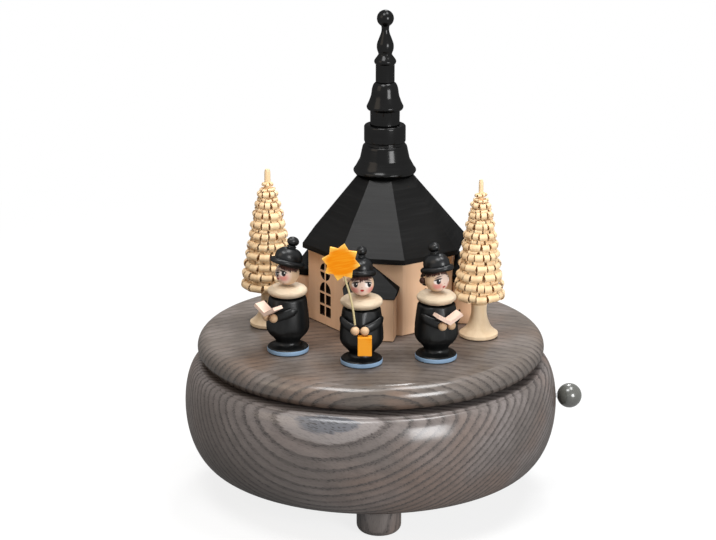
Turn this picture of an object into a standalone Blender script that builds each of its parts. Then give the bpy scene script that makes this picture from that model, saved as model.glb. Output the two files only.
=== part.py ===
"""Turned wooden music box: a bowl on three feet, a turning lid with an eight-sided church,
three carol singers and two shaved-curl trees, and a spring movement with comb, pin cylinder
and governor inside the bowl. Metres, +Z up, origin on the table under the middle of the box."""
import math

import bmesh
import bpy
from mathutils import Matrix, Vector

# General fits
SEAT_GAP = 0.0003
SHAFT_CLEARANCE = 0.0003

# Bowl and feet
BOWL_RADIUS = 0.0750
BOWL_HEIGHT = 0.0413
BELLY_HEIGHT = 0.0243
BELLY_UNDERCUT = 0.0125
RIM_INSET = 0.0055
RIM_ROUND = 0.0006
BOWL_WALL = 0.0080
BOWL_FLOOR = 0.0072
CAVITY_FILLET = 0.0030
KEY_HOLE_RADIUS = 0.0032
FOOT_RADIUS = 0.0087
FOOT_HEIGHT = 0.0130
FOOT_ROUND = 0.0030
FOOT_INSET = 0.0145
FOOT_TURN = math.radians(4.0)

# Turning lid and its hub
LID_OVERHANG = 0.0001
LID_THICKNESS = 0.0101
LID_BULLNOSE = 0.0050
LID_GAP = 0.0013
HUB_RADIUS = 0.0140
HUB_HEIGHT = 0.0052
HUB_FLANGE = 0.0020
HUB_BORE_DEPTH = 0.0045

# Start and stop pull
KNOB_RADIUS = 0.0050
KNOB_STAND_OFF = 0.0007
KNOB_HEIGHT = 0.0250
STOP_ROD_RADIUS = 0.0009
STOP_TRAVEL = 0.0045
STOP_FINGER_CLEARANCE = 0.0016

# Church
CHURCH_X = 0.0055
CHURCH_Y = 0.0227
CHURCH_TURN = math.radians(13.07)
WALL_RADIUS = 0.03176
WALL_HEIGHT = 0.0296
EAVE_RADIUS = 0.0341
EAVE_THICKNESS = 0.0020
ROOF_HEIGHT = 0.0266
ROOF_TOP_RADIUS = 0.0116
WINDOW_DEPTH = 0.0014
WINDOW_BAR = 0.0009
ROSETTE_RADIUS = 0.0036
ROSETTE_HEIGHT = 0.0226
ARCH_WIDTH = 0.0078
ARCH_SILL = 0.0040
ARCH_HEIGHT = 0.0142
PORCH_WIDTH = 0.0195
PORCH_REACH = 0.00785
PORCH_HEIGHT = 0.0171
GABLE_OVERHANG = 0.0013
GABLE_FASCIA = 0.0030
GABLE_DROP = 0.0014
GABLE_LAP = 0.0003

# Steeple, radii of its turned sections
BELL_RADIUS = 0.0127
BELL_NECK_RADIUS = 0.0090
BELL_HEIGHT = 0.0122
DRUM_RADIUS = 0.0084
DRUM_HEIGHT = 0.0070
LANTERN_RADIUS = 0.0060
LANTERN_HEIGHT = 0.0056
SMALL_BELL_RADIUS = 0.0074
SMALL_BELL_HEIGHT = 0.0113
SPIRE_RADIUS = 0.0038
SPIRE_HEIGHT = 0.0070
CAP_RADIUS = 0.0044
VASE_RADIUS = 0.0034
VASE_HEIGHT = 0.0154
BALL_RADIUS = 0.0034

# Shaved-curl trees
LEFT_TREE_X = -0.0412
LEFT_TREE_Y = 0.0065
LEFT_TREE_HEIGHT = 0.0647
LEFT_TREE_RADIUS = 0.0113
RIGHT_TREE_X = 0.0430
RIGHT_TREE_Y = -0.0072
RIGHT_TREE_HEIGHT = 0.0640
RIGHT_TREE_RADIUS = 0.0104
TREE_TOP_RADIUS = 0.0024
TREE_TIERS = 11
TREE_CURLS = 9
TREE_CURL_DEPTH = 0.0015
TREE_TRUNK_HEIGHT = 0.0134
TREE_TRUNK_RADIUS = 0.0031
TREE_FOOT_RADIUS = 0.0077

# Carol singers
LEFT_SINGER_X = -0.0323
LEFT_SINGER_Y = -0.0262
LEFT_SINGER_TURN = math.radians(-40.0)
LEFT_HEAD_TURN = math.radians(-55.0)
STAR_BEARER_X = -0.0035
STAR_BEARER_Y = -0.0401
STAR_BEARER_TURN = math.radians(0.0)
RIGHT_SINGER_X = 0.0252
RIGHT_SINGER_Y = -0.0344
RIGHT_SINGER_TURN = math.radians(22.0)
RIGHT_HEAD_TURN = math.radians(37.0)
STAND_RADIUS = 0.0081
STAND_THICKNESS = 0.0019
COAT_RADIUS = 0.0084
COAT_SHOULDER_RADIUS = 0.0066
COAT_HEIGHT = 0.0222
COLLAR_RADIUS = 0.0082
COLLAR_THICKNESS = 0.0040
HEAD_RADIUS = 0.00465
LEFT_HAT_TILT = math.radians(27.0)
STAR_BEARER_HAT_TILT = math.radians(14.0)
RIGHT_HAT_TILT = math.radians(21.0)
HAT_SEAT = 0.0024
BRIM_RADIUS = 0.0052
CROWN_HEIGHT = 0.0080
HAT_STRETCH = 1.30
BOBBLE_RADIUS = 0.0019
BUN_RADIUS = 0.0013
HAND_RADIUS = 0.00168
HAND_HEIGHT = 0.0158
SLEEVE_RADIUS = 0.0013
SLEEVE_TOP = 0.0190
BOOK_PAGE = 0.0062
BOOK_THICKNESS = 0.0014
BOOK_LENGTH = 0.0056
BOOK_SLOPE = math.radians(32.0)
STAR_TIP_RADIUS = 0.0072
STAR_NOTCH_RADIUS = 0.0049
STAR_THICKNESS = 0.0016
STAR_POINTS = 8
POLE_RADIUS = 0.0004
POLE_LENGTH = 0.0200
POLE_LEAN = math.radians(12.0)
LANTERN_WIDTH = 0.0054
LANTERN_DEPTH = 0.0036
LANTERN_BLOCK_HEIGHT = 0.0074

# Movement
BEDPLATE_THICKNESS = 0.0016
BEDPLATE_ROUND = 0.0030
BARREL_RADIUS = 0.0133
BARREL_HEIGHT = 0.0130
BARREL_WALL = 0.0008
DRIVE_SHAFT_RADIUS = 0.0020
BRIDGE_THICKNESS = 0.0016
BRIDGE_WIDTH = 0.0080
ARBOR_RADIUS = 0.0018
SPRING_THICKNESS = 0.0004
SPRING_TURNS = 4.0
CROWN_TEETH = 24
PINION_TEETH = 6
PINION_RADIUS = 0.00375
PINION_WIDTH = 0.0024
CROWN_WHEEL_WIDTH = 0.0028
DRUM_PIN_RADIUS = 0.0070
CYLINDER_RADIUS = 0.0063
MOVEMENT_CLEARANCE = 0.0046
PINION_GAP = 0.0005
AXIAL_PLAY = 0.0010
WHEEL_PLAY = 0.0014
DRUM_PLAY = 0.0007
DRUM_MARGIN = 0.0010
AXLE_END = 0.0006
PLATE_MARGIN = 0.0006
BEDPLATE_BACK = 0.0026
POST_HEADROOM = 0.0028
AXLE_RADIUS = 0.0010
LEAF_AXLE_RADIUS = 0.0008
POST_THICKNESS = 0.0016
POST_WIDTH = 0.0050
WHEEL_TEETH = 24
WHEEL_WIDTH = 0.0016
LEAF_TEETH = 8
GEAR_MODULE = 0.0005
WORM_WHEEL_TEETH = 12
WORM_WHEEL_RADIUS = 0.0042
WORM_WHEEL_WIDTH = 0.0020
WORM_RADIUS = 0.0019
WORM_CORE_RADIUS = 0.0010
WORM_TIP = 0.0006
FAN_SHAFT_RADIUS = 0.0007
WORM_LENGTH = 0.0080
FAN_RADIUS = 0.0060
FAN_HEIGHT = 0.0042
FAN_THICKNESS = 0.0004
FAN_GAP = 0.0006
FAN_LEVEL_GAP = 0.0010
COMB_TEETH = 18
CYLINDER_PINS = 27
COMB_THICKNESS = 0.0008
COMB_TOOTH_LENGTH = 0.0085
COMB_TIP_CLEARANCE = 0.0002
COMB_BACK = 0.0052
KEY_HEIGHT = 0.0105
KEY_WIDTH = 0.0230
KEY_THICKNESS = 0.0018
KEY_HUB_RADIUS = 0.0030

# Levels and places that follow from the sizes above
BOWL_BOTTOM_RADIUS = BOWL_RADIUS - BELLY_UNDERCUT
RIM_RADIUS = BOWL_RADIUS - RIM_INSET
CAVITY_RADIUS = RIM_RADIUS - BOWL_WALL
FOOT_CIRCLE = BOWL_BOTTOM_RADIUS - FOOT_INSET
LID_RADIUS = RIM_RADIUS + LID_OVERHANG
AXIS_X = -(KNOB_STAND_OFF + 2 * KNOB_RADIUS) / 2
BOWL_Z = FOOT_HEIGHT + SEAT_GAP
FLOOR_Z = BOWL_Z + BOWL_FLOOR
RIM_Z = BOWL_Z + BOWL_HEIGHT
LID_Z = RIM_Z + LID_GAP
LID_TOP = LID_Z + LID_THICKNESS
KNOB_Z = BOWL_Z + KNOB_HEIGHT
PLATE_Z = FLOOR_Z + SEAT_GAP
PLATE_TOP = PLATE_Z + BEDPLATE_THICKNESS
CYLINDER_Z = PLATE_TOP + DRUM_PIN_RADIUS + 0.0006

MODEL = bpy.data.collections.new("music_box")
CUTTERS = bpy.data.collections.new("cutters")


def material(name, color, roughness, metallic=0.0):
    mat = bpy.data.materials.new(name)
    mat.use_nodes = True
    shader = mat.node_tree.nodes["Principled BSDF"]
    shader.inputs["Base Color"].default_value = (*color, 1.0)
    shader.inputs["Roughness"].default_value = roughness
    shader.inputs["Metallic"].default_value = metallic
    mat.diffuse_color = (*color, 1.0)
    return mat


def link(obj, mat=None, parent=None, cutter=False):
    (CUTTERS if cutter else MODEL).objects.link(obj)
    if mat is not None:
        obj.data.materials.append(mat)
    if parent is not None:
        obj.parent = parent
    if cutter:
        obj.hide_render = True
        obj.display_type = "WIRE"
    return obj


def empty(name, location, parent=None, turn=0.0):
    obj = bpy.data.objects.new(name, None)
    obj.location = location
    obj.rotation_euler = (0.0, 0.0, turn)
    obj.parent = parent
    MODEL.objects.link(obj)
    return obj


def turned(name, profile, steps, mat, parent, location=(0, 0, 0), rotation=(0, 0, 0), cutter=False):
    """A turned piece: radius and height pairs, from the top down its outer side."""
    mesh = bpy.data.meshes.new(name)
    points = [(r, 0.0, z) for r, z in profile]
    count = len(points)
    edges = [(i, i + 1) for i in range(count - 1)]
    closed = profile[0][0] > 0 and profile[-1][0] > 0
    if closed:
        edges.append((count - 1, 0))
    mesh.from_pydata(points, edges, [])
    obj = link(bpy.data.objects.new(name, mesh), mat, parent, cutter)
    obj.location = location
    obj.rotation_euler = rotation
    screw = obj.modifiers.new("turn", "SCREW")
    screw.axis = "Z"
    screw.angle = 2 * math.pi
    screw.steps = steps
    screw.render_steps = steps
    screw.use_merge_vertices = True
    screw.merge_threshold = 0.00001
    screw.use_smooth_shade = True
    return obj


def solid(name, bm, mat, parent, location=(0, 0, 0), rotation=(0, 0, 0), cutter=False):
    bmesh.ops.recalc_face_normals(bm, faces=bm.faces)
    mesh = bpy.data.meshes.new(name)
    bm.to_mesh(mesh)
    bm.free()
    obj = link(bpy.data.objects.new(name, mesh), mat, parent, cutter)
    obj.location = location
    obj.rotation_euler = rotation
    return obj


def box(bm, size, centre):
    matrix = Matrix.Translation(centre) @ Matrix.Diagonal((*size, 1.0))
    bmesh.ops.create_cube(bm, size=1.0, matrix=matrix)


def rod(bm, radius, length, centre, axis="Z", segments=12, radius_end=None):
    turn = {"X": Matrix.Rotation(math.pi / 2, 4, "Y"), "Y": Matrix.Rotation(-math.pi / 2, 4, "X"),
            "Z": Matrix.Identity(4)}[axis]
    end = radius if radius_end is None else radius_end
    matrix = Matrix.Translation(centre) @ turn
    bmesh.ops.create_cone(bm, cap_ends=True, segments=segments, radius1=radius, radius2=end,
                          depth=length, matrix=matrix)


def curve_mesh(name, curve):
    """The evaluated curve as a mesh with its caps welded."""
    carrier = bpy.data.objects.new(name, curve)
    CUTTERS.objects.link(carrier)
    depsgraph = bpy.context.evaluated_depsgraph_get()
    mesh = bpy.data.meshes.new_from_object(carrier.evaluated_get(depsgraph))
    bpy.data.objects.remove(carrier)
    bm = bmesh.new()
    bm.from_mesh(mesh)
    bmesh.ops.remove_doubles(bm, verts=bm.verts, dist=0.000001)
    bmesh.ops.recalc_face_normals(bm, faces=bm.faces)
    bm.to_mesh(mesh)
    bm.free()
    return mesh


def flat(name, outlines, thickness, mat, parent, location=(0, 0, 0), rotation=(0, 0, 0), cutter=False):
    """A flat outline in XY, filled on both sides and extruded about its own middle."""
    curve = bpy.data.curves.new(name, "CURVE")
    curve.dimensions = "2D"
    curve.fill_mode = "BOTH"
    curve.extrude = thickness / 2
    for outline in outlines:
        spline = curve.splines.new("POLY")
        spline.points.add(len(outline) - 1)
        for point, (x, y) in zip(spline.points, outline):
            point.co = (x, y, 0.0, 1.0)
        spline.use_cyclic_u = True
    obj = link(bpy.data.objects.new(name, curve_mesh(name, curve)), mat, parent, cutter)
    obj.location = location
    obj.rotation_euler = rotation
    return obj


def tube(name, points, radii, mat, parent, resolution=1, cutter=False):
    """A round bar through the points, with its own radius at each and filled ends."""
    curve = bpy.data.curves.new(name, "CURVE")
    curve.dimensions = "3D"
    curve.bevel_depth = 1.0
    curve.bevel_resolution = resolution
    curve.use_fill_caps = True
    spline = curve.splines.new("POLY")
    spline.points.add(len(points) - 1)
    for point, place, radius in zip(spline.points, points, radii):
        point.co = (*place, 1.0)
        point.radius = radius
    obj = link(bpy.data.objects.new(name, curve_mesh(name, curve)), mat, parent, cutter)
    return obj


def combine(obj, other, operation):
    boolean = obj.modifiers.new(operation.lower(), "BOOLEAN")
    boolean.operation = operation
    boolean.object = other
    boolean.solver = "EXACT"


def arc(radius_r, radius_z, centre, start, end, steps):
    """Points on an elliptical arc; angles in degrees from the outward direction."""
    points = []
    for i in range(steps + 1):
        angle = math.radians(start + (end - start) * i / steps)
        points.append((centre[0] + radius_r * math.cos(angle), centre[1] + radius_z * math.sin(angle)))
    return points


def gear_outline(teeth, root, pitch, tip, thickness, phase=0.0):
    """Straight-flanked teeth; thickness is the share of the pitch that a tooth fills."""
    points = []
    step = 2 * math.pi / teeth
    half = step * thickness / 2
    for i in range(teeth):
        middle = i * step + phase
        for radius, offset in ((root, -half * 1.35), (tip, -half * 0.6), (tip, half * 0.6),
                               (root, half * 1.35)):
            points.append((radius * math.cos(middle + offset), radius * math.sin(middle + offset)))
    return points


def build_base(fixed, wood):
    belly_z = BELLY_HEIGHT
    profile = [(CAVITY_RADIUS, BOWL_HEIGHT), (RIM_RADIUS - RIM_ROUND, BOWL_HEIGHT)]
    upper = arc(BOWL_RADIUS - RIM_RADIUS, BOWL_HEIGHT - RIM_ROUND - belly_z, (RIM_RADIUS, belly_z), 90, 0, 3)
    lower = arc(BOWL_RADIUS - BOWL_BOTTOM_RADIUS, belly_z, (BOWL_BOTTOM_RADIUS, belly_z), 0, -90, 6)
    profile += upper + lower[1:]
    profile += [(KEY_HOLE_RADIUS, 0.0), (KEY_HOLE_RADIUS, BOWL_FLOOR)]
    corner = (CAVITY_RADIUS - CAVITY_FILLET, BOWL_FLOOR + CAVITY_FILLET)
    profile += arc(CAVITY_FILLET, CAVITY_FILLET, corner, -90, 0, 2)
    bowl = turned("base_body", profile, 36, wood, fixed, (0, 0, BOWL_Z))
    bm = bmesh.new()
    hole_length = 2 * (BOWL_RADIUS - CAVITY_RADIUS)
    rod(bm, STOP_ROD_RADIUS + SHAFT_CLEARANCE, hole_length,
        (CAVITY_RADIUS + (BOWL_RADIUS - CAVITY_RADIUS) / 2, 0, KNOB_Z), "X", 10)
    combine(bowl, solid("stop_rod_hole", bm, None, fixed, cutter=True), "DIFFERENCE")
    foot = [(0, FOOT_HEIGHT), (FOOT_RADIUS, FOOT_HEIGHT)]
    foot += arc(FOOT_ROUND, FOOT_ROUND, (FOOT_RADIUS - FOOT_ROUND, FOOT_ROUND), 0, -90, 3)
    foot += [(0, 0)]
    for index, name in enumerate(("foot_front", "foot_right", "foot_left")):
        angle = FOOT_TURN + index * 2 * math.pi / 3
        place = (FOOT_CIRCLE * math.sin(angle), -FOOT_CIRCLE * math.cos(angle), 0)
        turned(name, foot, 12, wood, fixed, place)


def fan_place():
    """Distances along Y from the turning axis to the governor wheel and to the fan."""
    wheel_y = GEAR_MODULE * (WHEEL_TEETH + LEAF_TEETH) / 2
    worm_y = wheel_y + WORM_WHEEL_RADIUS + WORM_RADIUS
    return wheel_y, worm_y


def plate_back():
    """Distance along Y from the turning axis to the back edge of the bedplate."""
    wheel_y, worm_y = fan_place()
    return worm_y + FAN_RADIUS + BEDPLATE_BACK


def plate_reach():
    """Distance along X to the far edge of the bedplate, whose round back corner clears the bowl."""
    corner = CAVITY_RADIUS - MOVEMENT_CLEARANCE - BEDPLATE_ROUND
    return math.sqrt(corner ** 2 - (plate_back() - BEDPLATE_ROUND) ** 2) + BEDPLATE_ROUND


def cylinder_places():
    """Distances along X from the turning axis, outwards from the barrel and inwards from the plate's edge."""
    places = {"pinion": BARREL_RADIUS + PINION_GAP, "far_edge": plate_reach()}
    places["inner_post"] = places["pinion"] + PINION_WIDTH + AXIAL_PLAY
    places["drum"] = places["inner_post"] + POST_THICKNESS + DRUM_PLAY
    places["far_post"] = places["far_edge"] - PLATE_MARGIN - POST_THICKNESS
    places["leaf_end"] = places["far_post"] + POST_THICKNESS + AXLE_END / 2
    places["worm_wheel"] = places["far_post"] - AXIAL_PLAY - WORM_WHEEL_WIDTH
    places["worm_x"] = places["worm_wheel"] + WORM_WHEEL_WIDTH / 2
    places["outer_post"] = places["worm_wheel"] - WHEEL_PLAY - POST_THICKNESS
    places["end"] = places["outer_post"] + POST_THICKNESS + AXLE_END
    places["wheel"] = places["outer_post"] - WHEEL_PLAY - WHEEL_WIDTH
    places["drum_end"] = places["wheel"] - AXIAL_PLAY
    places["length"] = places["drum_end"] - places["drum"]
    places["tooth_pitch"] = (places["length"] - 2 * DRUM_MARGIN) / COMB_TEETH
    return places


def build_stop(fixed, wood, steel, at):
    """Ball knob on a bent wire whose finger can stand in the fan's path."""
    slide = empty("stop_slide", (BOWL_RADIUS, 0, KNOB_Z), fixed)
    ball_x = KNOB_STAND_OFF + KNOB_RADIUS
    ball = arc(KNOB_RADIUS, KNOB_RADIUS, (0, 0), 90, -70, 7)
    socket = STOP_ROD_RADIUS + SHAFT_CLEARANCE
    flat_z = KNOB_RADIUS * math.sin(math.radians(-70))
    ball = [(0, KNOB_RADIUS)] + ball[1:] + [(socket, flat_z), (socket, -0.0005), (0, -0.0005)]
    turned("stop_knob", ball, 12, wood, slide, (ball_x, 0, 0), (0, math.pi / 2, 0))
    wheel_y, worm_y = fan_place()
    finger_x = at["worm_x"] - FAN_RADIUS - STOP_FINGER_CLEARANCE - BOWL_RADIUS
    rod_end = ball_x - 0.0005 - SEAT_GAP
    reach_y = worm_y - WORM_RADIUS
    bend = 0.0015
    points = [(rod_end, 0, 0), (finger_x + bend, 0, 0), (finger_x, bend, 0), (finger_x, reach_y, 0)]
    tube("stop_rod", points, [STOP_ROD_RADIUS] * 4, steel, slide, 1)


def build_lid(turntable, wood, pale):
    half = LID_THICKNESS / 2
    profile = [(0, LID_THICKNESS)]
    profile += arc(LID_BULLNOSE, half, (LID_RADIUS - LID_BULLNOSE, half), 90, -90, 6)
    profile += [(0, 0)]
    turned("lid", profile, 36, wood, turntable)
    bore = DRIVE_SHAFT_RADIUS + SHAFT_CLEARANCE
    hub = [(0, 0), (HUB_RADIUS, 0), (HUB_RADIUS, -HUB_FLANGE), (HUB_RADIUS * 0.55, -HUB_FLANGE * 1.4),
           (HUB_RADIUS * 0.5, -HUB_HEIGHT), (bore, -HUB_HEIGHT),
           (bore, HUB_BORE_DEPTH - HUB_HEIGHT), (0, HUB_BORE_DEPTH - HUB_HEIGHT)]
    turned("lid_hub", hub, 16, pale, turntable, (0, 0, -SEAT_GAP))


def pane(bm, outline, centre, out, depth, proud):
    """One window pane as a short prism that starts outside the wall and ends inside it."""
    across = Vector((-out.y, out.x, 0))
    rings = []
    for distance in (proud, -depth):
        base = centre + out * distance
        rings.append([bm.verts.new(base + across * u + Vector((0, 0, v))) for u, v in outline])
    count = len(outline)
    for i in range(count):
        j = (i + 1) % count
        bm.faces.new((rings[0][i], rings[0][j], rings[1][j], rings[1][i]))
    bm.faces.new(rings[0])
    bm.faces.new(list(reversed(rings[1])))


def window_outlines():
    """Four quarter panes of the rosette and six panes of the arched window."""
    outlines = []
    bar = WINDOW_BAR / 2
    inner = bar * math.sqrt(2)
    for quarter in range(4):
        turn = math.pi / 2 * quarter
        start = math.asin(bar / ROSETTE_RADIUS)
        points = [(inner * math.cos(turn + math.pi / 4), inner * math.sin(turn + math.pi / 4))]
        for i in range(4):
            angle = turn + start + (math.pi / 2 - 2 * start) * i / 3
            points.append((ROSETTE_RADIUS * math.cos(angle), ROSETTE_RADIUS * math.sin(angle)))
        outlines.append([(u, v + ROSETTE_HEIGHT) for u, v in points])
    half = ARCH_WIDTH / 2
    spring = ARCH_HEIGHT - half
    row = (ARCH_HEIGHT - 2 * WINDOW_BAR) / 3
    for level in range(3):
        low = ARCH_SILL + level * (row + WINDOW_BAR)
        high = low + row
        for side in (-1, 1):
            if level < 2:
                points = [(side * bar, low), (side * half, low), (side * half, high), (side * bar, high)]
            else:
                top = ARCH_SILL + spring
                points = [(side * bar, low), (side * half, low)]
                points += [(side * half * math.cos(math.radians(a)), top + half * math.sin(math.radians(a)))
                           for a in (30, 60)]
                points += [(side * bar, top + math.sqrt(half * half - bar * bar))]
            outlines.append(points if side > 0 else list(reversed(points)))
    return outlines


def build_church(turntable, pale, black, steeple_black):
    church = empty("church", (CHURCH_X, CHURCH_Y, LID_THICKNESS), turntable, CHURCH_TURN)
    bm = bmesh.new()
    rod(bm, WALL_RADIUS, WALL_HEIGHT, (0, 0, SEAT_GAP + WALL_HEIGHT / 2), "Z", 8)
    walls = solid("church_walls", bm, pale, church)
    bm = bmesh.new()
    apothem = WALL_RADIUS * math.cos(math.pi / 8)
    for index in range(4):
        angle = math.radians(22.5 + 90 * index)
        out = Vector((math.sin(angle), -math.cos(angle), 0))
        for outline in window_outlines():
            pane(bm, outline, out * apothem, out, WINDOW_DEPTH, 0.0010)
    combine(walls, solid("window_panes", bm, None, church, cutter=True), "DIFFERENCE")
    eave_z = SEAT_GAP + WALL_HEIGHT + SEAT_GAP
    for index, name in enumerate(("front", "right", "back", "left")):
        build_porch(church, name, math.radians(-22.5 + 90 * index), apothem, eave_z, pale, black)
    bm = bmesh.new()
    rod(bm, EAVE_RADIUS, EAVE_THICKNESS, (0, 0, eave_z + EAVE_THICKNESS / 2), "Z", 8)
    roof_z = eave_z + EAVE_THICKNESS
    top_faces = [f for f in bm.faces if f.calc_center_median().z > roof_z - 0.0001]
    raised = bmesh.ops.extrude_face_region(bm, geom=top_faces)
    verts = [v for v in raised["geom"] if isinstance(v, bmesh.types.BMVert)]
    bmesh.ops.delete(bm, geom=top_faces, context="FACES_ONLY")
    share = ROOF_TOP_RADIUS / EAVE_RADIUS
    for vert in verts:
        vert.co = Vector((vert.co.x * share, vert.co.y * share, roof_z + ROOF_HEIGHT))
    solid("church_roof", bm, black, church)
    build_steeple(church, roof_z + ROOF_HEIGHT + SEAT_GAP, steeple_black)


def build_porch(church, name, angle, apothem, eave_z, pale, black):
    """A pale porch block under a roof whose face leans back from its foot to the wall."""
    porch = empty("porch_place_" + name, (0, 0, SEAT_GAP), church, angle)
    bm = bmesh.new()
    box(bm, (PORCH_WIDTH, PORCH_REACH, PORCH_HEIGHT),
        (0, -(apothem + SEAT_GAP + PORCH_REACH / 2), PORCH_HEIGHT / 2))
    solid("porch_" + name, bm, pale, porch)
    half = PORCH_WIDTH / 2 + 0.0004
    wide = PORCH_WIDTH / 2 + GABLE_OVERHANG
    low = PORCH_HEIGHT + SEAT_GAP
    fascia = low + GABLE_FASCIA
    peak = eave_z - GABLE_DROP
    wall = -(apothem + SEAT_GAP)
    front = wall - PORCH_REACH - GABLE_LAP
    lean = front + (wall - front) * GABLE_FASCIA / (peak - low)
    bm = bmesh.new()
    tip = bm.verts.new((0, wall, peak))
    sides = []
    for side in (-1, 1):
        sides.append([bm.verts.new(point) for point in (
            (side * half, front, low), (side * wide, lean, fascia),
            (side * wide, wall, fascia), (side * half, wall, low))])
    left, right = sides
    bm.faces.new((left[0], right[0], right[1], tip, left[1]))
    bm.faces.new((right[3], left[3], left[2], tip, right[2]))
    bm.faces.new((left[0], left[3], right[3], right[0]))
    for corners in sides:
        bm.faces.new(corners)
        bm.faces.new((corners[1], corners[2], tip))
    solid("porch_roof_" + name, bm, black, porch)


def build_steeple(church, z, black):
    neck = BELL_NECK_RADIUS
    flare = BELL_RADIUS - neck
    drum_top = BELL_HEIGHT + 0.0014 + DRUM_HEIGHT
    bell = [(0, drum_top), (DRUM_RADIUS * 0.88, drum_top), (DRUM_RADIUS, drum_top - 0.0012),
            (DRUM_RADIUS, BELL_HEIGHT + 0.0014), (neck * 0.90, BELL_HEIGHT + 0.0006),
            (neck * 0.96, BELL_HEIGHT)]
    for share, level in ((0.0, 0.94), (0.11, 0.80), (0.25, 0.60), (0.53, 0.41), (0.77, 0.27),
                         (1.0, 0.15), (0.84, 0.06), (0.70, 0.0)):
        bell.append((neck + flare * share, BELL_HEIGHT * level))
    bell.append((0, 0))
    turned("steeple_base", bell, 20, black, church, (0, 0, z))
    z += drum_top + SEAT_GAP
    small = SMALL_BELL_HEIGHT
    top = LANTERN_HEIGHT + small
    flare = SMALL_BELL_RADIUS - SPIRE_RADIUS
    lantern = [(0, top), (SPIRE_RADIUS, top)]
    for share, drop in ((0.24, 0.08), (0.40, 0.22), (0.47, 0.38), (0.62, 0.58), (1.0, 0.86), (0.94, 0.95)):
        lantern.append((SPIRE_RADIUS + flare * share, top - small * drop))
    lantern += [(LANTERN_RADIUS * 1.05, LANTERN_HEIGHT), (LANTERN_RADIUS, LANTERN_HEIGHT - 0.0004),
                (LANTERN_RADIUS, 0), (0, 0)]
    turned("steeple_lantern", lantern, 14, black, church, (0, 0, z))
    z += top + SEAT_GAP
    cap = SPIRE_HEIGHT
    spire = [(0, 0), (SPIRE_RADIUS, 0), (SPIRE_RADIUS, cap), (CAP_RADIUS, cap + 0.0003),
             (CAP_RADIUS, cap + 0.0015), (CAP_RADIUS * 0.75, cap + 0.0031), (CAP_RADIUS * 0.62, cap + 0.0040)]
    body = VASE_HEIGHT - 0.0040
    for share, level in ((0.86, 0.07), (1.0, 0.25), (0.84, 0.49), (0.56, 0.70), (0.45, 0.84), (0.45, 0.92)):
        spire.append((VASE_RADIUS * share, cap + 0.0040 + body * level))
    centre = cap + VASE_HEIGHT + BALL_RADIUS * 0.86
    spire += arc(BALL_RADIUS, BALL_RADIUS, (0, centre), -60, 90, 6)[:-1] + [(0, centre + BALL_RADIUS)]
    spire.reverse()
    turned("steeple_finial", spire, 12, black, church, (0, 0, z))


def tree_radius(share, low_radius):
    return TREE_TOP_RADIUS + (low_radius - TREE_TOP_RADIUS) * (1 - share) ** 0.67


def build_tree(turntable, name, x, y, height, low_radius, turn, pale):
    """Crown of stacked rolled curls, staggered from tier to tier, on a turned foot."""
    tree = empty(name, (x, y, LID_THICKNESS + SEAT_GAP), turntable, turn)
    trunk = TREE_TRUNK_HEIGHT
    foot = [(0, trunk), (TREE_TRUNK_RADIUS, trunk), (TREE_TRUNK_RADIUS, trunk * 0.72)]
    flare = TREE_FOOT_RADIUS - TREE_TRUNK_RADIUS
    for share, level in ((0.16, 0.48), (0.42, 0.29), (0.78, 0.17), (1.0, 0.11)):
        foot.append((TREE_TRUNK_RADIUS + flare * share, trunk * level))
    foot += [(TREE_FOOT_RADIUS, 0), (0, 0)]
    turned(name + "_foot", foot, 16, pale, tree)
    bottom = trunk + SEAT_GAP
    first = bottom + 0.0037
    last = height - 0.0062
    pitch = (last - first) / (TREE_TIERS - 1)
    columns = TREE_CURLS * 2
    bm = bmesh.new()
    rings = []

    def ring(z, low, high, parity):
        verts = []
        for i in range(columns):
            radius = high if (i + parity) % 2 == 0 else low
            angle = 2 * math.pi * i / columns
            verts.append(bm.verts.new((radius * math.cos(angle), radius * math.sin(angle), z)))
        rings.append(verts)

    ring(bottom, TREE_TRUNK_RADIUS * 1.3, TREE_TRUNK_RADIUS * 1.3, 0)
    for tier in range(TREE_TIERS):
        share = tier / (TREE_TIERS - 1)
        outer = tree_radius(share, low_radius)
        depth = min(TREE_CURL_DEPTH, outer * 0.3)
        z = first + pitch * tier
        parity = tier % 2
        inner = outer - depth * 1.5
        if tier == 0:
            inner = outer - depth * 2.2
        ring(z - pitch * 0.42, inner, inner, 0)
        ring(z - pitch * 0.24, outer - depth, outer, parity)
        ring(z + pitch * 0.24, outer - depth, outer, parity)
    ring(last + pitch * 0.55, TREE_TOP_RADIUS * 0.6, TREE_TOP_RADIUS * 0.6, 0)
    ring(height - 0.0012, TREE_TOP_RADIUS * 0.34, TREE_TOP_RADIUS * 0.34, 0)
    for lower, upper in zip(rings, rings[1:]):
        for i in range(columns):
            j = (i + 1) % columns
            bm.faces.new((lower[i], lower[j], upper[j], upper[i]))
    for verts, z in ((rings[0], bottom), (rings[-1], height)):
        pole = bm.verts.new((0, 0, z))
        for i in range(columns):
            bm.faces.new((pole, verts[i], verts[(i + 1) % columns]))
    solid(name + "_crown", bm, pale, tree)


def coat_radius(z):
    """Outside of the coat at a height above the lid."""
    low = STAND_THICKNESS + 0.0064
    share = max(0.0, min(1.0, (z - low) / (COAT_HEIGHT - 0.0012 - low)))
    return COAT_RADIUS + (COAT_SHOULDER_RADIUS - COAT_RADIUS) * share ** 1.15


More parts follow.
